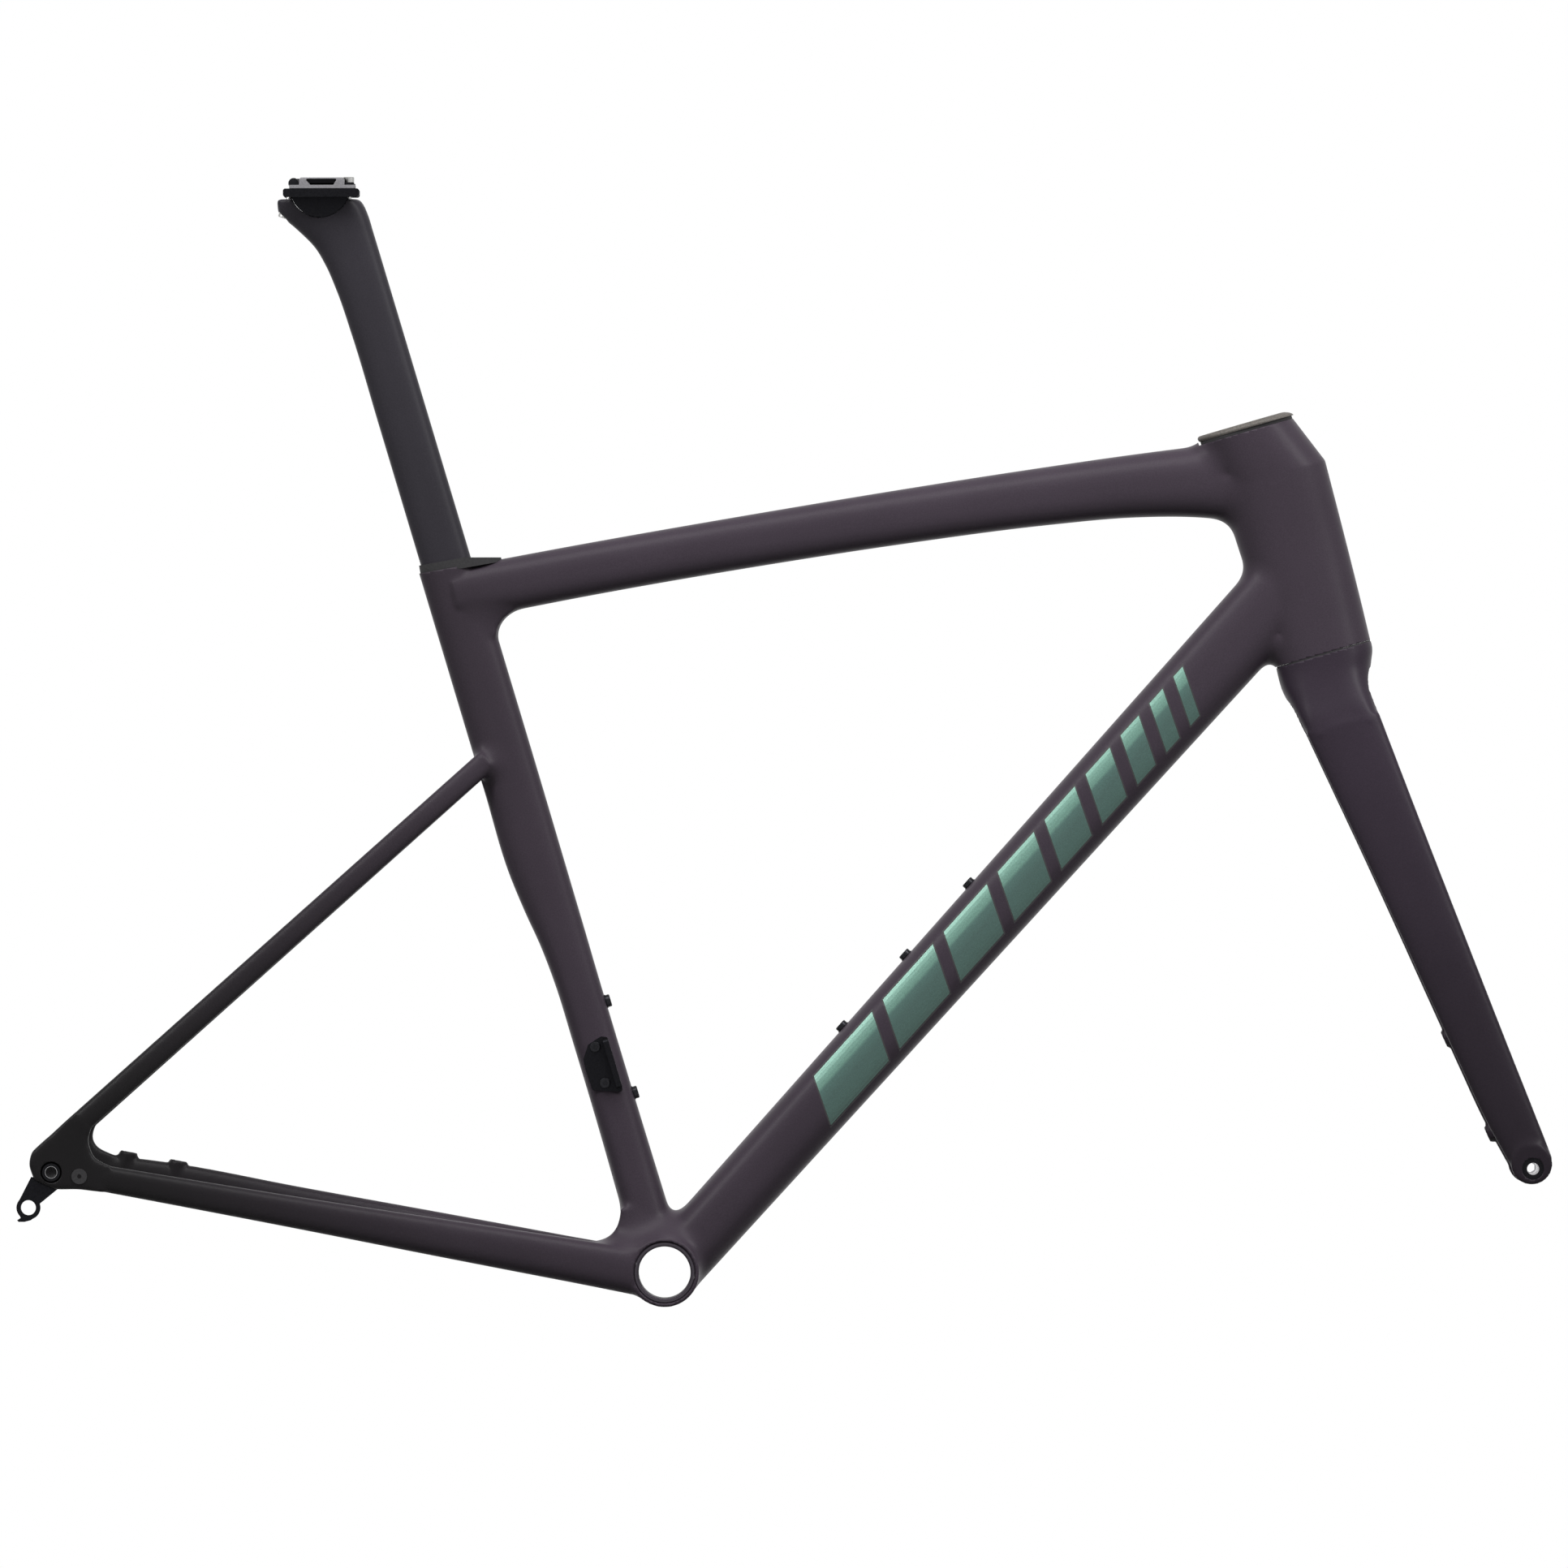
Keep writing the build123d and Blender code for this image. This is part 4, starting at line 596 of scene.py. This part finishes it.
fork_spots = [((p[0], side * 22, p[1]), 34) for p in arch_sides for side in (-1, 1)]
fork_spots += [((FRONT_AXLE[0], side * 55, FRONT_AXLE[1] + 8), 22) for side in (-1, 1)]
soften(fork_skin, fork_spots, CROWN_ROUNDS)
cut(fork_skin, [steer_trim(CROWN_TOP, CROWN_TOP + 20, 60, -60), steer_cylinder(330, CROWN_TOP, STEERER_SEAT),
                across("drive_eye", *FRONT_AXLE, DRIVE_EYE, -62, -48),
                across("brake_eye", *FRONT_AXLE, AXLE_HOLE, 48, 62)])
cut(fork_skin, [steer_cylinder(351.9, CROWN_TOP + 5, RACE_SEAT)]
    + [bore_along(axis, -12, 6, FORK_INSERT) for axis in front_pad_axes])
shade_smooth(fork_skin)
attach(fork_skin, "fork")
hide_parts("fork_crown", "fork_leg_drive_side", "fork_leg_brake_side")

# %% [markdown]
# ## Seals
# Three soft parts close the gaps that a bare frame would show light through: a thin lip under the
# head tube, another under the headset's cover, and the rubber collar round the seatpost. The collar
# is moulded to the frame, so its underside is cut with the frame's own skin.

# %% Lip seals and the post's collar
def lip_seal(name, start, end, fore, aft, half_width, bore):
    rows = [steer_row(t, fore, aft, half_width, 2.3) for t in (start, end)]
    seal = loft(name, rows, 2, easing=False)
    cut(seal, [steer_cylinder(start - 5, end + 5, bore)])
    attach(seal, "fork")
    return seal


crown_seal = lip_seal("crown_lip_seal", CROWN_TOP, HEAD_FOOT - 0.05, 37.9, 27.1, 27.0, 23.9)
COVER_GAP = 2.2
cover_seal = lip_seal("cover_lip_seal", HEAD_TOP + 0.06, HEAD_TOP + COVER_GAP, 29.2, 34.4, 28.6, 20.6)

COLLAR_RISE, COLLAR_DROP, COLLAR_LEVEL = 5.3, 1.6, 479.2
COLLAR_ROOM = 0.1              # between the collar and the line of the socket's wall
collar_rows = [row(on_line(SEAT_TOP, SEAT_TOP_SLOPE, 0, drop), SEAT_TOP_SLOPE + 90, 24.3, 30.9, 13.3, 2.6)
               for drop in (COLLAR_DROP, -COLLAR_RISE)]
post_reach, post_width = SOCKET_DEPTH + COLLAR_ROOM, SOCKET_WIDTH + COLLAR_ROOM
collar = loft("post_collar", collar_rows, 4, easing=False)
cut(collar, [square_cut([(-180, COLLAR_LEVEL), (-60, COLLAR_LEVEL), (-60, 500), (-180, 500)])])
cut(collar, [loft("post_room", [seat_row(t, post_reach, post_reach, post_width) for t in (430, 530)], 2)])
cut(collar, [in_scene("under", frame_skin.data.copy())])
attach(collar, "frame")
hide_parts("seatpost_seal")
print("collar faces", len(collar.data.polygons))

# %% [markdown]
# ## The seatpost
# The post is one more moulding. Its shaft has a constant section, so that it can slide, and its head
# flares backward into a lip that carries the rear clamp bolt. A fine voxel skin lets the lip's edges
# round off the way a moulded edge does.

# %% Seatpost skin
DRUM, DRUM_SEAT, HEAD_LEVEL = (-229.6, 727.4), 20.04, 719.6
BOLT_FOOT, NUT = (-253.4, 709.6), (-247.0, 730.15)
FRONT_BOLT, BOLT_ROOM = -210.3, 2.9            # the clamp bolts lean a little, so their holes are wide
LIP_ROUNDS = 7
post_rows = [seat_row(*r) for r in (
    (362, 16.85, 16.85, 11.0), (500, 16.85, 16.85, 11.0), (600, 16.85, 16.85, 11.0),
    (660, 16.85, 16.85, 11.0), (692, 16.85, 18.1, 11.1), (711, 16.85, 20.4, 11.5), (724, 16.8, 23.8, 12.0),
    (735, 16.7, 29.5, 12.6), (743, 15.6, 34.5, 13.0), (751, 11.6, 40.0, 13.4), (768, 6.0, 46.0, 13.6))]
post_form = loft("post_form", post_rows, 10)
over_post = [(-300, HEAD_LEVEL), (-180, HEAD_LEVEL), (-180, 780), (-300, 780)]
behind_lip = [(-258.2, HEAD_LEVEL), (-257.0, 700), (-290, 700), (-290, HEAD_LEVEL + 0.1)]
cut(post_form, [square_cut(over_post)])
cut(post_form, [square_cut(behind_lip)])
post_skin = one_skin("post_skin", [post_form], FINE_VOXEL)
soften(post_skin, [((-257, 0, 714), 22), ((-204, 0, 719), 14)], LIP_ROUNDS, fill_only=False)
bolt_run = math.hypot(NUT[0] - BOLT_FOOT[0], NUT[1] - BOLT_FOOT[1])
bolt_axis = ((BOLT_FOOT[0], 0.0, BOLT_FOOT[1]),
             ((NUT[0] - BOLT_FOOT[0]) / bolt_run, 0.0, (NUT[1] - BOLT_FOOT[1]) / bolt_run))
inside = [seat_row(t, 14.85, 14.85, 9.0) for t in (361, 706)]
cut(post_skin, [across("drum_seat", *DRUM, DRUM_SEAT, -40, 40), bore_along(bolt_axis, -14, 0.15, 4.6)])
cut(post_skin, [cylinder("bolt_room", (FRONT_BOLT, 0, 698), (FRONT_BOLT, 0, 740), BOLT_ROOM)])
cut(post_skin, [across("barrel_seat", *BOLT_FOOT, 3.6, -4.5, 4.5), loft("post_inside", inside, 2)])
cut(post_skin, [bore_along(bolt_axis, -1, 40, BOLT_ROOM)])
shade_smooth(post_skin)
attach(post_skin, "seatpost")
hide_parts("seatpost")
print("post skin faces", len(post_skin.data.polygons))

# %% [markdown]
# ## A graphic on the down tube
# The real tube wears a big painted graphic in pearl green with a dark outline. Here it is a plain
# racing motif: a run of slanted bars that get narrower. Each bar is a thin curved tile, shaped by the
# same outline as the tube, so it lies on the skin like a decal. A dark tile under it, a little larger,
# makes the outline.

# %% Slanted bars
BAR_SLANT = 0.55               # forward lean: millimetres along the tube per millimetre across it
BAR_GAP = 11.0
BAR_REACH = 15.2               # half of the band's height
BAR_START = 158.0
bar_widths = [58, 50, 43, 36, 30, 24, 18, 13, 9]


def tube_side(along, off, side, lift):
    """A point on the down tube's flank: off is the height across it, lift is how far it stands proud."""
    depth, width = down_section(along)
    share = min(abs(off) / depth, 1.0)
    y = width * (1 - share**2.7) ** (1 / 2.7) + lift
    x, z = on_line(DOWN_START, DOWN_CLIMB, along, -off)
    return (x * MM, side * y * MM, z * MM)


def tiles(name, grow, lift):
    """All the bars on both flanks as thin closed tiles, grown by an outline's width."""
    columns, lines = 8, 14
    points, faces = [], []
    for side in (-1, 1):
        start = BAR_START
        for bar in bar_widths:
            reach = BAR_REACH + grow
            base = len(points)
            for level in (lift, -0.5):
                for j in range(lines + 1):
                    off = -reach + 2 * reach * j / lines
                    for i in range(columns + 1):
                        along = start - grow + (bar + 2 * grow) * i / columns + BAR_SLANT * off
                        points.append(tube_side(along, off, side, level))
            row_size = columns + 1
            layer = row_size * (lines + 1)
            for j in range(lines):
                for i in range(columns):
                    a = base + j * row_size + i
                    quad = (a, a + 1, a + 1 + row_size, a + row_size)
                    faces.append(quad)
                    faces.append(tuple(v + layer for v in reversed(quad)))
            rim = [base + i for i in range(columns)] + [base + columns + j * row_size for j in range(lines)]
            rim += [base + layer - 1 - i for i in range(columns)]
            rim += [base + (lines - j) * row_size for j in range(lines)]
            for k, a in enumerate(rim):
                b = rim[(k + 1) % len(rim)]
                faces.append((b, a, a + layer, b + layer))
            start += bar + BAR_GAP
    piece = add_mesh(name, points, faces)
    face_outward(piece)
    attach(piece, "frame")
    return piece


bar_outline = tiles("down_tube_bar_outline", 1.1, 0.06)
bar_faces = tiles("down_tube_bars", 0.0, 0.12)
print("bars end at", BAR_START + sum(bar_widths) + BAR_GAP * (len(bar_widths) - 1), "mm along the tube")

# %% [markdown]
# ## Finishes
# Every finish starts from the real material. Colours are written as sRGB hex codes, because that is
# how paint is matched by eye, and one function turns them into Blender's linear numbers. One more
# function adds a node with its settings and links; all the materials below are built with it. The
# short ones after it are steps that many finishes share: a noise, a blend, a relief and the shader.

# %% Colour and node helpers
def linear(code):
    """An sRGB hex colour as the linear numbers that Blender's sockets expect."""
    channels = [int(code[i:i + 2], 16) / 255 for i in (1, 3, 5)]
    return tuple(c / 12.92 if c <= 0.04045 else ((c + 0.055) / 1.055) ** 2.4 for c in channels) + (1.0,)


def add(tree, kind, inputs, **settings):
    """Adds a node. Inputs maps a socket's name or number to a value or to another node's output."""
    node = tree.nodes.new("ShaderNode" + kind)
    for key, value in settings.items():
        setattr(node, key, value)
    for key, value in inputs.items():
        if isinstance(value, bpy.types.NodeSocket):
            tree.links.new(value, node.inputs[key])
        else:
            node.inputs[key].default_value = value
    return node


def start_material(name):
    material = bpy.data.materials.new(name)
    material.use_nodes = True
    tree = material.node_tree
    tree.nodes.clear()
    place = add(tree, "TexCoord", {}).outputs["Object"]
    return material, tree, place


def per_mm(size):
    """A texture scale whose features are about this many millimetres, in an object measured in metres."""
    return 1000.0 / size


def noise(tree, place, size, detail=2.0, **more):
    """A noise of 0 to 1 whose features are about this many millimetres."""
    inputs = {"Vector": place, "Scale": per_mm(size), "Detail": detail, **more}
    return add(tree, "TexNoise", inputs).outputs["Fac"]


def blend(tree, share, first, second):
    """A colour between two others. Each is a hex code or another node's output."""
    first, second = (linear(c) if isinstance(c, str) else c for c in (first, second))
    return add(tree, "Mix", {0: share, 6: first, 7: second}, data_type="RGBA").outputs[2]


def relief(tree, height, strength, depth):
    """A bump of this many metres, as the normal that a shader takes."""
    return add(tree, "Bump", {"Height": height, "Strength": strength, "Distance": depth}).outputs[0]


def surfaced(material, tree, inputs):
    """The material again, once its one principled shader is in place."""
    shader = add(tree, "BsdfPrincipled", inputs)
    add(tree, "OutputMaterial", {"Surface": shader.outputs[0]})
    return material


print("aubergine", [round(c, 4) for c in linear("#3a343a")[:3]])

# %% [markdown]
# ### Satin clear coat on pigmented carbon
# A modern race frame is carbon cloth under a thin dark pigment and a satin lacquer (IOR about 1.5).
# The eye gets three things from it: a very dark colour that drifts a little from place to place, a
# broad soft highlight, because the lacquer is matted, and a faint sparkle of pigment flakes. The
# colour leans to aubergine at the front and fades to a neutral black towards the rear wheel; that
# rear black is partly painted shade, drawn darker to stand for the shade on the stays.

# %% Satin-coated carbon
FLAKE_MM = 0.9                 # real flakes are near 0.1 mm; drawn coarser so that a render shows them
CLOUD_MM = 70.0
RIPPLE_MM = 4.0                # the lacquer's slight orange peel
COAT_SHINE = 0.08              # matting powder in the lacquer leaves little of its mirror reflection


def satin_coated_carbon(name, front, rear, fade_and_shade_span=(-0.40, 0.0), axis="X"):
    material, tree, place = start_material(name)
    where = add(tree, "SeparateXYZ", {"Vector": place})
    # The two colours blend over this span; the darker one is partly painted shade.
    along = add(tree, "MapRange", {"Value": where.outputs[axis], "From Min": fade_and_shade_span[0], "From Max": fade_and_shade_span[1]},
                interpolation_type="SMOOTHSTEP")
    colour = blend(tree, along.outputs[0], rear, front)
    cloud = noise(tree, place, CLOUD_MM)
    drift = add(tree, "MapRange", {"Value": cloud, "To Min": 0.86, "To Max": 1.14})
    flake = noise(tree, place, FLAKE_MM, 1.0)
    sparkle = add(tree, "MapRange", {"Value": flake, "From Min": 0.3, "From Max": 0.75,
                                     "To Min": 0.93, "To Max": 1.10})
    shade = add(tree, "Math", {0: drift.outputs[0], 1: sparkle.outputs[0]}, operation="MULTIPLY")
    shaded = add(tree, "VectorMath", {0: colour, "Scale": shade.outputs[0]}, operation="SCALE")
    ripple = relief(tree, noise(tree, place, RIPPLE_MM, 1.0), 0.06, 0.6 * MM)
    gloss = add(tree, "MapRange", {"Value": cloud, "To Min": 0.35, "To Max": 0.42})
    return surfaced(material, tree, {
        "Base Color": shaded.outputs[0], "Roughness": gloss.outputs[0], "Normal": ripple, "IOR": 1.5,
        "Specular IOR Level": COAT_SHINE})


frame_coat = satin_coated_carbon("satin_coated_carbon_frame", front="#3a333b", rear="#181718")
# On the fork the two colours blend upward instead, as painted shade: darker at the tips, lighter at the
# crown.
fork_coat = satin_coated_carbon("satin_coated_carbon_fork", "#302932", "#231e24", fade_and_shade_span=(0.05, 0.38), axis="Z")
post_coat = satin_coated_carbon("satin_coated_carbon_post", front="#2d2b30", rear="#2d2b30")

# %% [markdown]
# ### Pearl ink and its dark outline
# Pearl pigment is mica coated with oxide, and its flake mirrors light. Here that light is painted into
# the colour: the ink is lighter high on the tube and darker low on it, a painted highlight over
# painted shade, with a fairly sharp change between.

# %% Pearl green ink, matt black ink
def pearl_ink_with_painted_light():
    material, tree, place = start_material("pearl_green_ink_painted_light")
    climb = radians(DOWN_CLIMB)
    across_tube = add(tree, "VectorMath", {0: place, 1: (-sin(climb), 0.0, cos(climb))},
                      operation="DOT_PRODUCT")
    height = add(tree, "MapRange", {"Value": across_tube.outputs["Value"], "From Min": -0.018,
                                    "From Max": 0.014})
    # Painted highlight and shade: the colour follows the height across the tube, lighter above, darker below.
    ramp = add(tree, "ValToRGB", {"Fac": height.outputs[0]})
    painted_light_stops = ((0.0, "#3f5a53"), (0.45, "#3c544f"), (0.66, "#44605a"), (0.72, "#5c8074"), (1.0, "#6b9385"))
    while len(ramp.color_ramp.elements) < len(painted_light_stops):
        ramp.color_ramp.elements.new(0.5)
    for element, (position, code) in zip(ramp.color_ramp.elements, painted_light_stops):
        element.position = position
        element.color = linear(code)
    sparkle = add(tree, "MapRange", {"Value": noise(tree, place, 0.8), "From Min": 0.3, "From Max": 0.7,
                                     "To Min": 0.85, "To Max": 1.15})
    colour = add(tree, "VectorMath", {0: ramp.outputs["Color"], "Scale": sparkle.outputs[0]},
                 operation="SCALE")
    return surfaced(material, tree, {"Base Color": colour.outputs[0], "Metallic": 0.25, "Roughness": 0.42})


def flat_ink():
    material, tree, place = start_material("matt_black_ink")
    colour = blend(tree, noise(tree, place, 1.0), "#141315", "#1d1b1e")
    return surfaced(material, tree, {"Base Color": colour, "Roughness": 0.6})


pearl, black_ink = pearl_ink_with_painted_light(), flat_ink()

# %% [markdown]
# ### Mouldings and rubber
# The headset's cover is glass-filled nylon: matt, warm grey, with a visible grain from the filler.
# The collar round the post and the grommet are soft black rubber: very rough, nearly no highlight.

# %% Glass-filled nylon and rubber
def grained(name, dark, light, grain_mm, roughness, depth_mm):
    """A matt moulded surface whose colour and height follow one grain."""
    material, tree, place = start_material(name)
    grain = noise(tree, place, grain_mm, 3.0, Roughness=0.6)
    fine = add(tree, "MapRange", {"Value": grain, "From Min": 0.3, "From Max": 0.7}).outputs[0]
    return surfaced(material, tree, {
        "Base Color": blend(tree, fine, dark, light), "Roughness": roughness, "IOR": 1.5,
        "Normal": relief(tree, fine, 0.35, depth_mm * MM)})


nylon = grained("glass_filled_nylon", "#35322f", "#56514c", 1.1, 0.62, 0.15)
rubber = grained("black_rubber", "#151416", "#201f21", 1.6, 0.88, 0.10)

# %% [markdown]
# ### Metals
# Turned and anodised parts show fine rings from the lathe, so their roughness and height follow
# rings round the axis they were turned on. Forged and blasted parts show an even fine grain instead.
# The metal's own colour is its reflection: near black where it is anodised, pale where it is bare.

# %% Blasted, turned and plated metals
def blasted_metal(name, dark, light, grain_mm, roughness):
    material, tree, place = start_material(name)
    grain = noise(tree, place, grain_mm)
    gloss = add(tree, "MapRange", {"Value": grain, "To Min": roughness - 0.06, "To Max": roughness + 0.06})
    return surfaced(material, tree, {
        "Base Color": blend(tree, grain, dark, light), "Metallic": 1.0, "Roughness": gloss.outputs[0],
        "Normal": relief(tree, grain, 0.15, 0.05 * MM)})


def distance_from_axis(tree, place, axis_point):
    """How far a point of the surface lies from an axis across the frame."""
    centre = (axis_point[0] * MM, 0.0, axis_point[1] * MM)
    local = add(tree, "VectorMath", {0: place, 1: centre}, operation="SUBTRACT")
    flat = add(tree, "VectorMath", {0: local.outputs[0], 1: (1.0, 0.0, 1.0)}, operation="MULTIPLY")
    return add(tree, "VectorMath", {0: flat.outputs[0]}, operation="LENGTH").outputs["Value"]


def turned_metal(name, dark, light, axis_point, ring_mm, roughness):
    """Metal with lathe rings round an axis that lies across the frame."""
    material, tree, place = start_material(name)
    radius = distance_from_axis(tree, place, axis_point)
    rings = add(tree, "Math", {0: radius, 1: 2 * pi * per_mm(ring_mm)}, operation="MULTIPLY")
    wave = add(tree, "Math", {0: rings.outputs[0]}, operation="SINE")
    height = add(tree, "MapRange", {"Value": wave.outputs[0], "From Min": -1.0}).outputs[0]
    return surfaced(material, tree, {
        "Base Color": blend(tree, height, dark, light), "Metallic": 1.0, "Roughness": roughness,
        "Normal": relief(tree, height, 0.15, 0.03 * MM)})


def through_axle(name, axis_point):
    """Black anodised outside, bare and bright inside the bore, which a cutter goes through last."""
    material, tree, place = start_material(name)
    radius = distance_from_axis(tree, place, axis_point)
    bore = add(tree, "MapRange", {"Value": radius, "From Min": 4.1 * MM, "From Max": 3.9 * MM}).outputs[0]
    black = blend(tree, noise(tree, place, 0.8), "#151517", "#222224")
    gloss = add(tree, "MapRange", {"Value": bore, "To Min": 0.34, "To Max": 0.22})
    return surfaced(material, tree, {
        "Base Color": blend(tree, bore, black, "#d8d8da"), "Metallic": 1.0, "Roughness": gloss.outputs[0]})


anodised = blasted_metal("black_anodised_aluminium", "#111113", "#1f1f22", 0.9, 0.42)
bare_alloy = blasted_metal("machined_aluminium", "#a2a2a4", "#c4c4c6", 0.7, 0.30)
oxide_steel = blasted_metal("black_oxide_steel", "#1a1a1c", "#2f2f32", 0.8, 0.36)
zinc_steel = blasted_metal("zinc_plated_steel", "#8e8e8d", "#bcbcba", 0.7, 0.28)
bearing_steel = turned_metal("ground_bearing_steel", "#9b9b9d", "#c8c8ca", steer_point(450), 0.6, 0.2)
sleeve_metal = turned_metal("turned_anodised_sleeve", "#353136", "#423e44", (0, 0), 1.0, 0.5)
rear_axle_metal = through_axle("rear_axle_anodised", REAR_AXLE)
front_axle_metal = through_axle("front_axle_anodised", FRONT_AXLE)

# %% [markdown]
# ### Two special surfaces
# The rail clamp is black, but its flanks were milled after anodising, so they are bare and grey while
# the window cut into them stays black. The steerer is bare laminate: a woven pattern of bundles
# about 2 mm wide that shine in turn, because their fibres lie in two directions.

# %% Milled clamp and bare woven carbon
def milled_clamp():
    material, tree, place = start_material("milled_rail_clamp")
    where = add(tree, "SeparateXYZ", {"Vector": place})
    side = add(tree, "Math", {0: where.outputs["Y"]}, operation="ABSOLUTE")
    flank = add(tree, "MapRange", {"Value": side.outputs[0], "From Min": 24.6 * MM, "From Max": 24.9 * MM})
    grain = noise(tree, place, 0.6)
    bare = blend(tree, grain, "#5b5a5d", "#9a999c")
    return surfaced(material, tree, {
        "Base Color": blend(tree, flank.outputs[0], "#161618", bare), "Metallic": 1.0, "Roughness": 0.38,
        "Normal": relief(tree, grain, 0.2, 0.05 * MM)})


def woven_carbon():
    material, tree, place = start_material("bare_woven_carbon")
    weave = add(tree, "TexChecker", {"Vector": place, "Scale": per_mm(2.0)})
    shine = add(tree, "MapRange", {"Value": noise(tree, place, 0.4), "To Min": 0.3, "To Max": 0.5})
    return surfaced(material, tree, {
        "Base Color": blend(tree, weave.outputs["Fac"], "#161617", "#242426"), "Roughness": shine.outputs[0],
        "IOR": 1.5, "Coat Weight": 0.3, "Coat Roughness": 0.15})


clamp_metal, bare_carbon = milled_clamp(), woven_carbon()

# %% Dress every piece
by_slot = {
    "frame_coat": frame_coat, "rear_coat": frame_coat, "fork_coat": fork_coat, "post_coat": post_coat,
    "cover_grey": nylon, "raw_carbon": bare_carbon, "rubber": rubber, "black_alloy": anodised,
    "silver_alloy": bare_alloy, "bearing_steel": bearing_steel, "black_steel": oxide_steel,
    "bright_steel": zinc_steel}
by_node = {
    "rear_thru_axle": rear_axle_metal, "front_thru_axle": front_axle_metal, "saddle_upper_clamp": clamp_metal,
    "bottom_bracket_threaded_sleeve": sleeve_metal, "front_axle_insert": anodised,
    "rear_axle_insert": anodised, "down_tube_bottle_inserts": anodised, "seat_tube_bottle_inserts": anodised,
    "rear_barrel_nut": oxide_steel, "front_barrel_washer": oxide_steel}


def dress(piece, material):
    piece.data.materials.clear()
    piece.data.materials.append(material)


for part in frame["record"]["subparts"]:
    dress(frame["nodes"][part["node"]], by_node.get(part["node"], by_slot[part["material_slot"]]))
dress(frame_skin, frame_coat)
dress(fork_skin, fork_coat)
dress(post_skin, post_coat)
dress(bar_outline, black_ink)
dress(bar_faces, pearl)
for soft_part in (crown_seal, cover_seal, collar):
    dress(soft_part, rubber)

# %% [markdown]
# ## Camera
# A long lens from far away keeps the drawing-like side view: near and far sides almost coincide.

# %% Camera
camera_data = bpy.data.cameras.new("camera")
camera = in_scene("camera", camera_data)
CAMERA_DISTANCE, CAMERA_TILT = 27.0, 0.126
VIEW_CENTRE, VIEW_WIDTH = (0.0807, 0.3269), 1.051
camera.location = (VIEW_CENTRE[0], -CAMERA_DISTANCE, VIEW_CENTRE[1])
camera.rotation_euler = (radians(90), radians(CAMERA_TILT), 0)
camera_data.sensor_width = 36.0
camera_data.lens = 36.0 * CAMERA_DISTANCE / VIEW_WIDTH
camera_data.clip_end = 100.0
bpy.context.scene.camera = camera
print("lens", round(camera_data.lens), "mm")

# %% [markdown]
# ## Floor and world
# The floor is a plain pale disc under the frame. It keeps the shadow near its middle and melts into
# the white world towards its rim, like a studio sweep. The world shows as white to the camera and in
# reflections, and lights the object at a lower, plain level.

# %% Floor
def seen_directly(tree):
    """1 for camera, mirror and glass rays, and 0 for the soft rays that light the object."""
    ray = add(tree, "LightPath", {})
    seen = add(tree, "Math", {0: ray.outputs["Is Camera Ray"], 1: ray.outputs["Is Glossy Ray"]},
               operation="MAXIMUM")
    seen = add(tree, "Math", {0: seen.outputs[0], 1: ray.outputs["Is Transmission Ray"]},
               operation="MAXIMUM")
    return seen.outputs[0]


FLOOR_X, FLOOR_LEVEL, FLOOR_RADIUS = 0.081, -0.235, 1.25
floor = cylinder("floor", (FLOOR_X / MM, 0, FLOOR_LEVEL / MM - 10), (FLOOR_X / MM, 0, FLOOR_LEVEL / MM),
                 FLOOR_RADIUS / MM, 96)
floor_material, tree, place = start_material("pale_studio_floor")
centred = add(tree, "VectorMath", {0: place, 1: (FLOOR_X, 0.0, FLOOR_LEVEL)}, operation="SUBTRACT")
reach = add(tree, "VectorMath", {0: centred.outputs[0]}, operation="LENGTH")
melt = add(tree, "MapRange", {"Value": reach.outputs["Value"], "From Min": 0.6 * FLOOR_RADIUS,
                              "From Max": 0.98 * FLOOR_RADIUS}, interpolation_type="SMOOTHSTEP")
shown = blend(tree, seen_directly(tree), "#2e2e2d", "#f4f4f3")
paper = add(tree, "BsdfDiffuse", {"Color": shown})
white = add(tree, "Emission", {"Color": (1.0, 1.0, 1.0, 1.0), "Strength": 1.0})
sweep = add(tree, "MixShader", {0: melt.outputs[0], 1: paper.outputs[0], 2: white.outputs[0]})
add(tree, "OutputMaterial", {"Surface": sweep.outputs[0]})
dress(floor, floor_material)

# %% World
view = bpy.context.scene.view_settings
view.view_transform = "Standard"
world = bpy.data.worlds.new("studio")
bpy.context.scene.world = world
world.use_nodes = True
tree = world.node_tree
tree.nodes.clear()
AMBIENT = 0.10                 # how strongly the white world lights the object
ambient = add(tree, "Background", {"Color": linear("#ffffff"), "Strength": AMBIENT})
backdrop = add(tree, "Background", {"Color": linear("#ffffff"), "Strength": 1.0})
both = add(tree, "MixShader", {0: seen_directly(tree), 1: ambient.outputs[0], 2: backdrop.outputs[0]})
add(tree, "OutputWorld", {"Surface": both.outputs[0]})

# %% [markdown]
# ## Lamps
# Three large soft boxes: one overhead, so that upper faces are lighter than lower ones, and a tall
# strip at each side of the camera, which draws the long highlights down the tubes.

# %% Soft boxes
def soft_box(name, place, target, size, watts):
    lamp_data = bpy.data.lights.new(name, "AREA")
    lamp_data.shape = "RECTANGLE"
    lamp_data.size, lamp_data.size_y = size
    lamp_data.energy = watts
    lamp = in_scene(name, lamp_data)
    lamp.location = place
    lamp.rotation_euler = (Vector(target) - Vector(place)).to_track_quat("-Z", "Y").to_euler()


middle = (0.08, 0.0, 0.35)
soft_box("overhead", (0.1, -1.3, 2.4), middle, (2.4, 1.2), 58)
soft_box("left_strip", (-1.9, -1.4, 2.0), middle, (0.4, 1.5), 42)
soft_box("right_strip", (2.1, -1.3, 2.0), middle, (0.4, 1.5), 52)
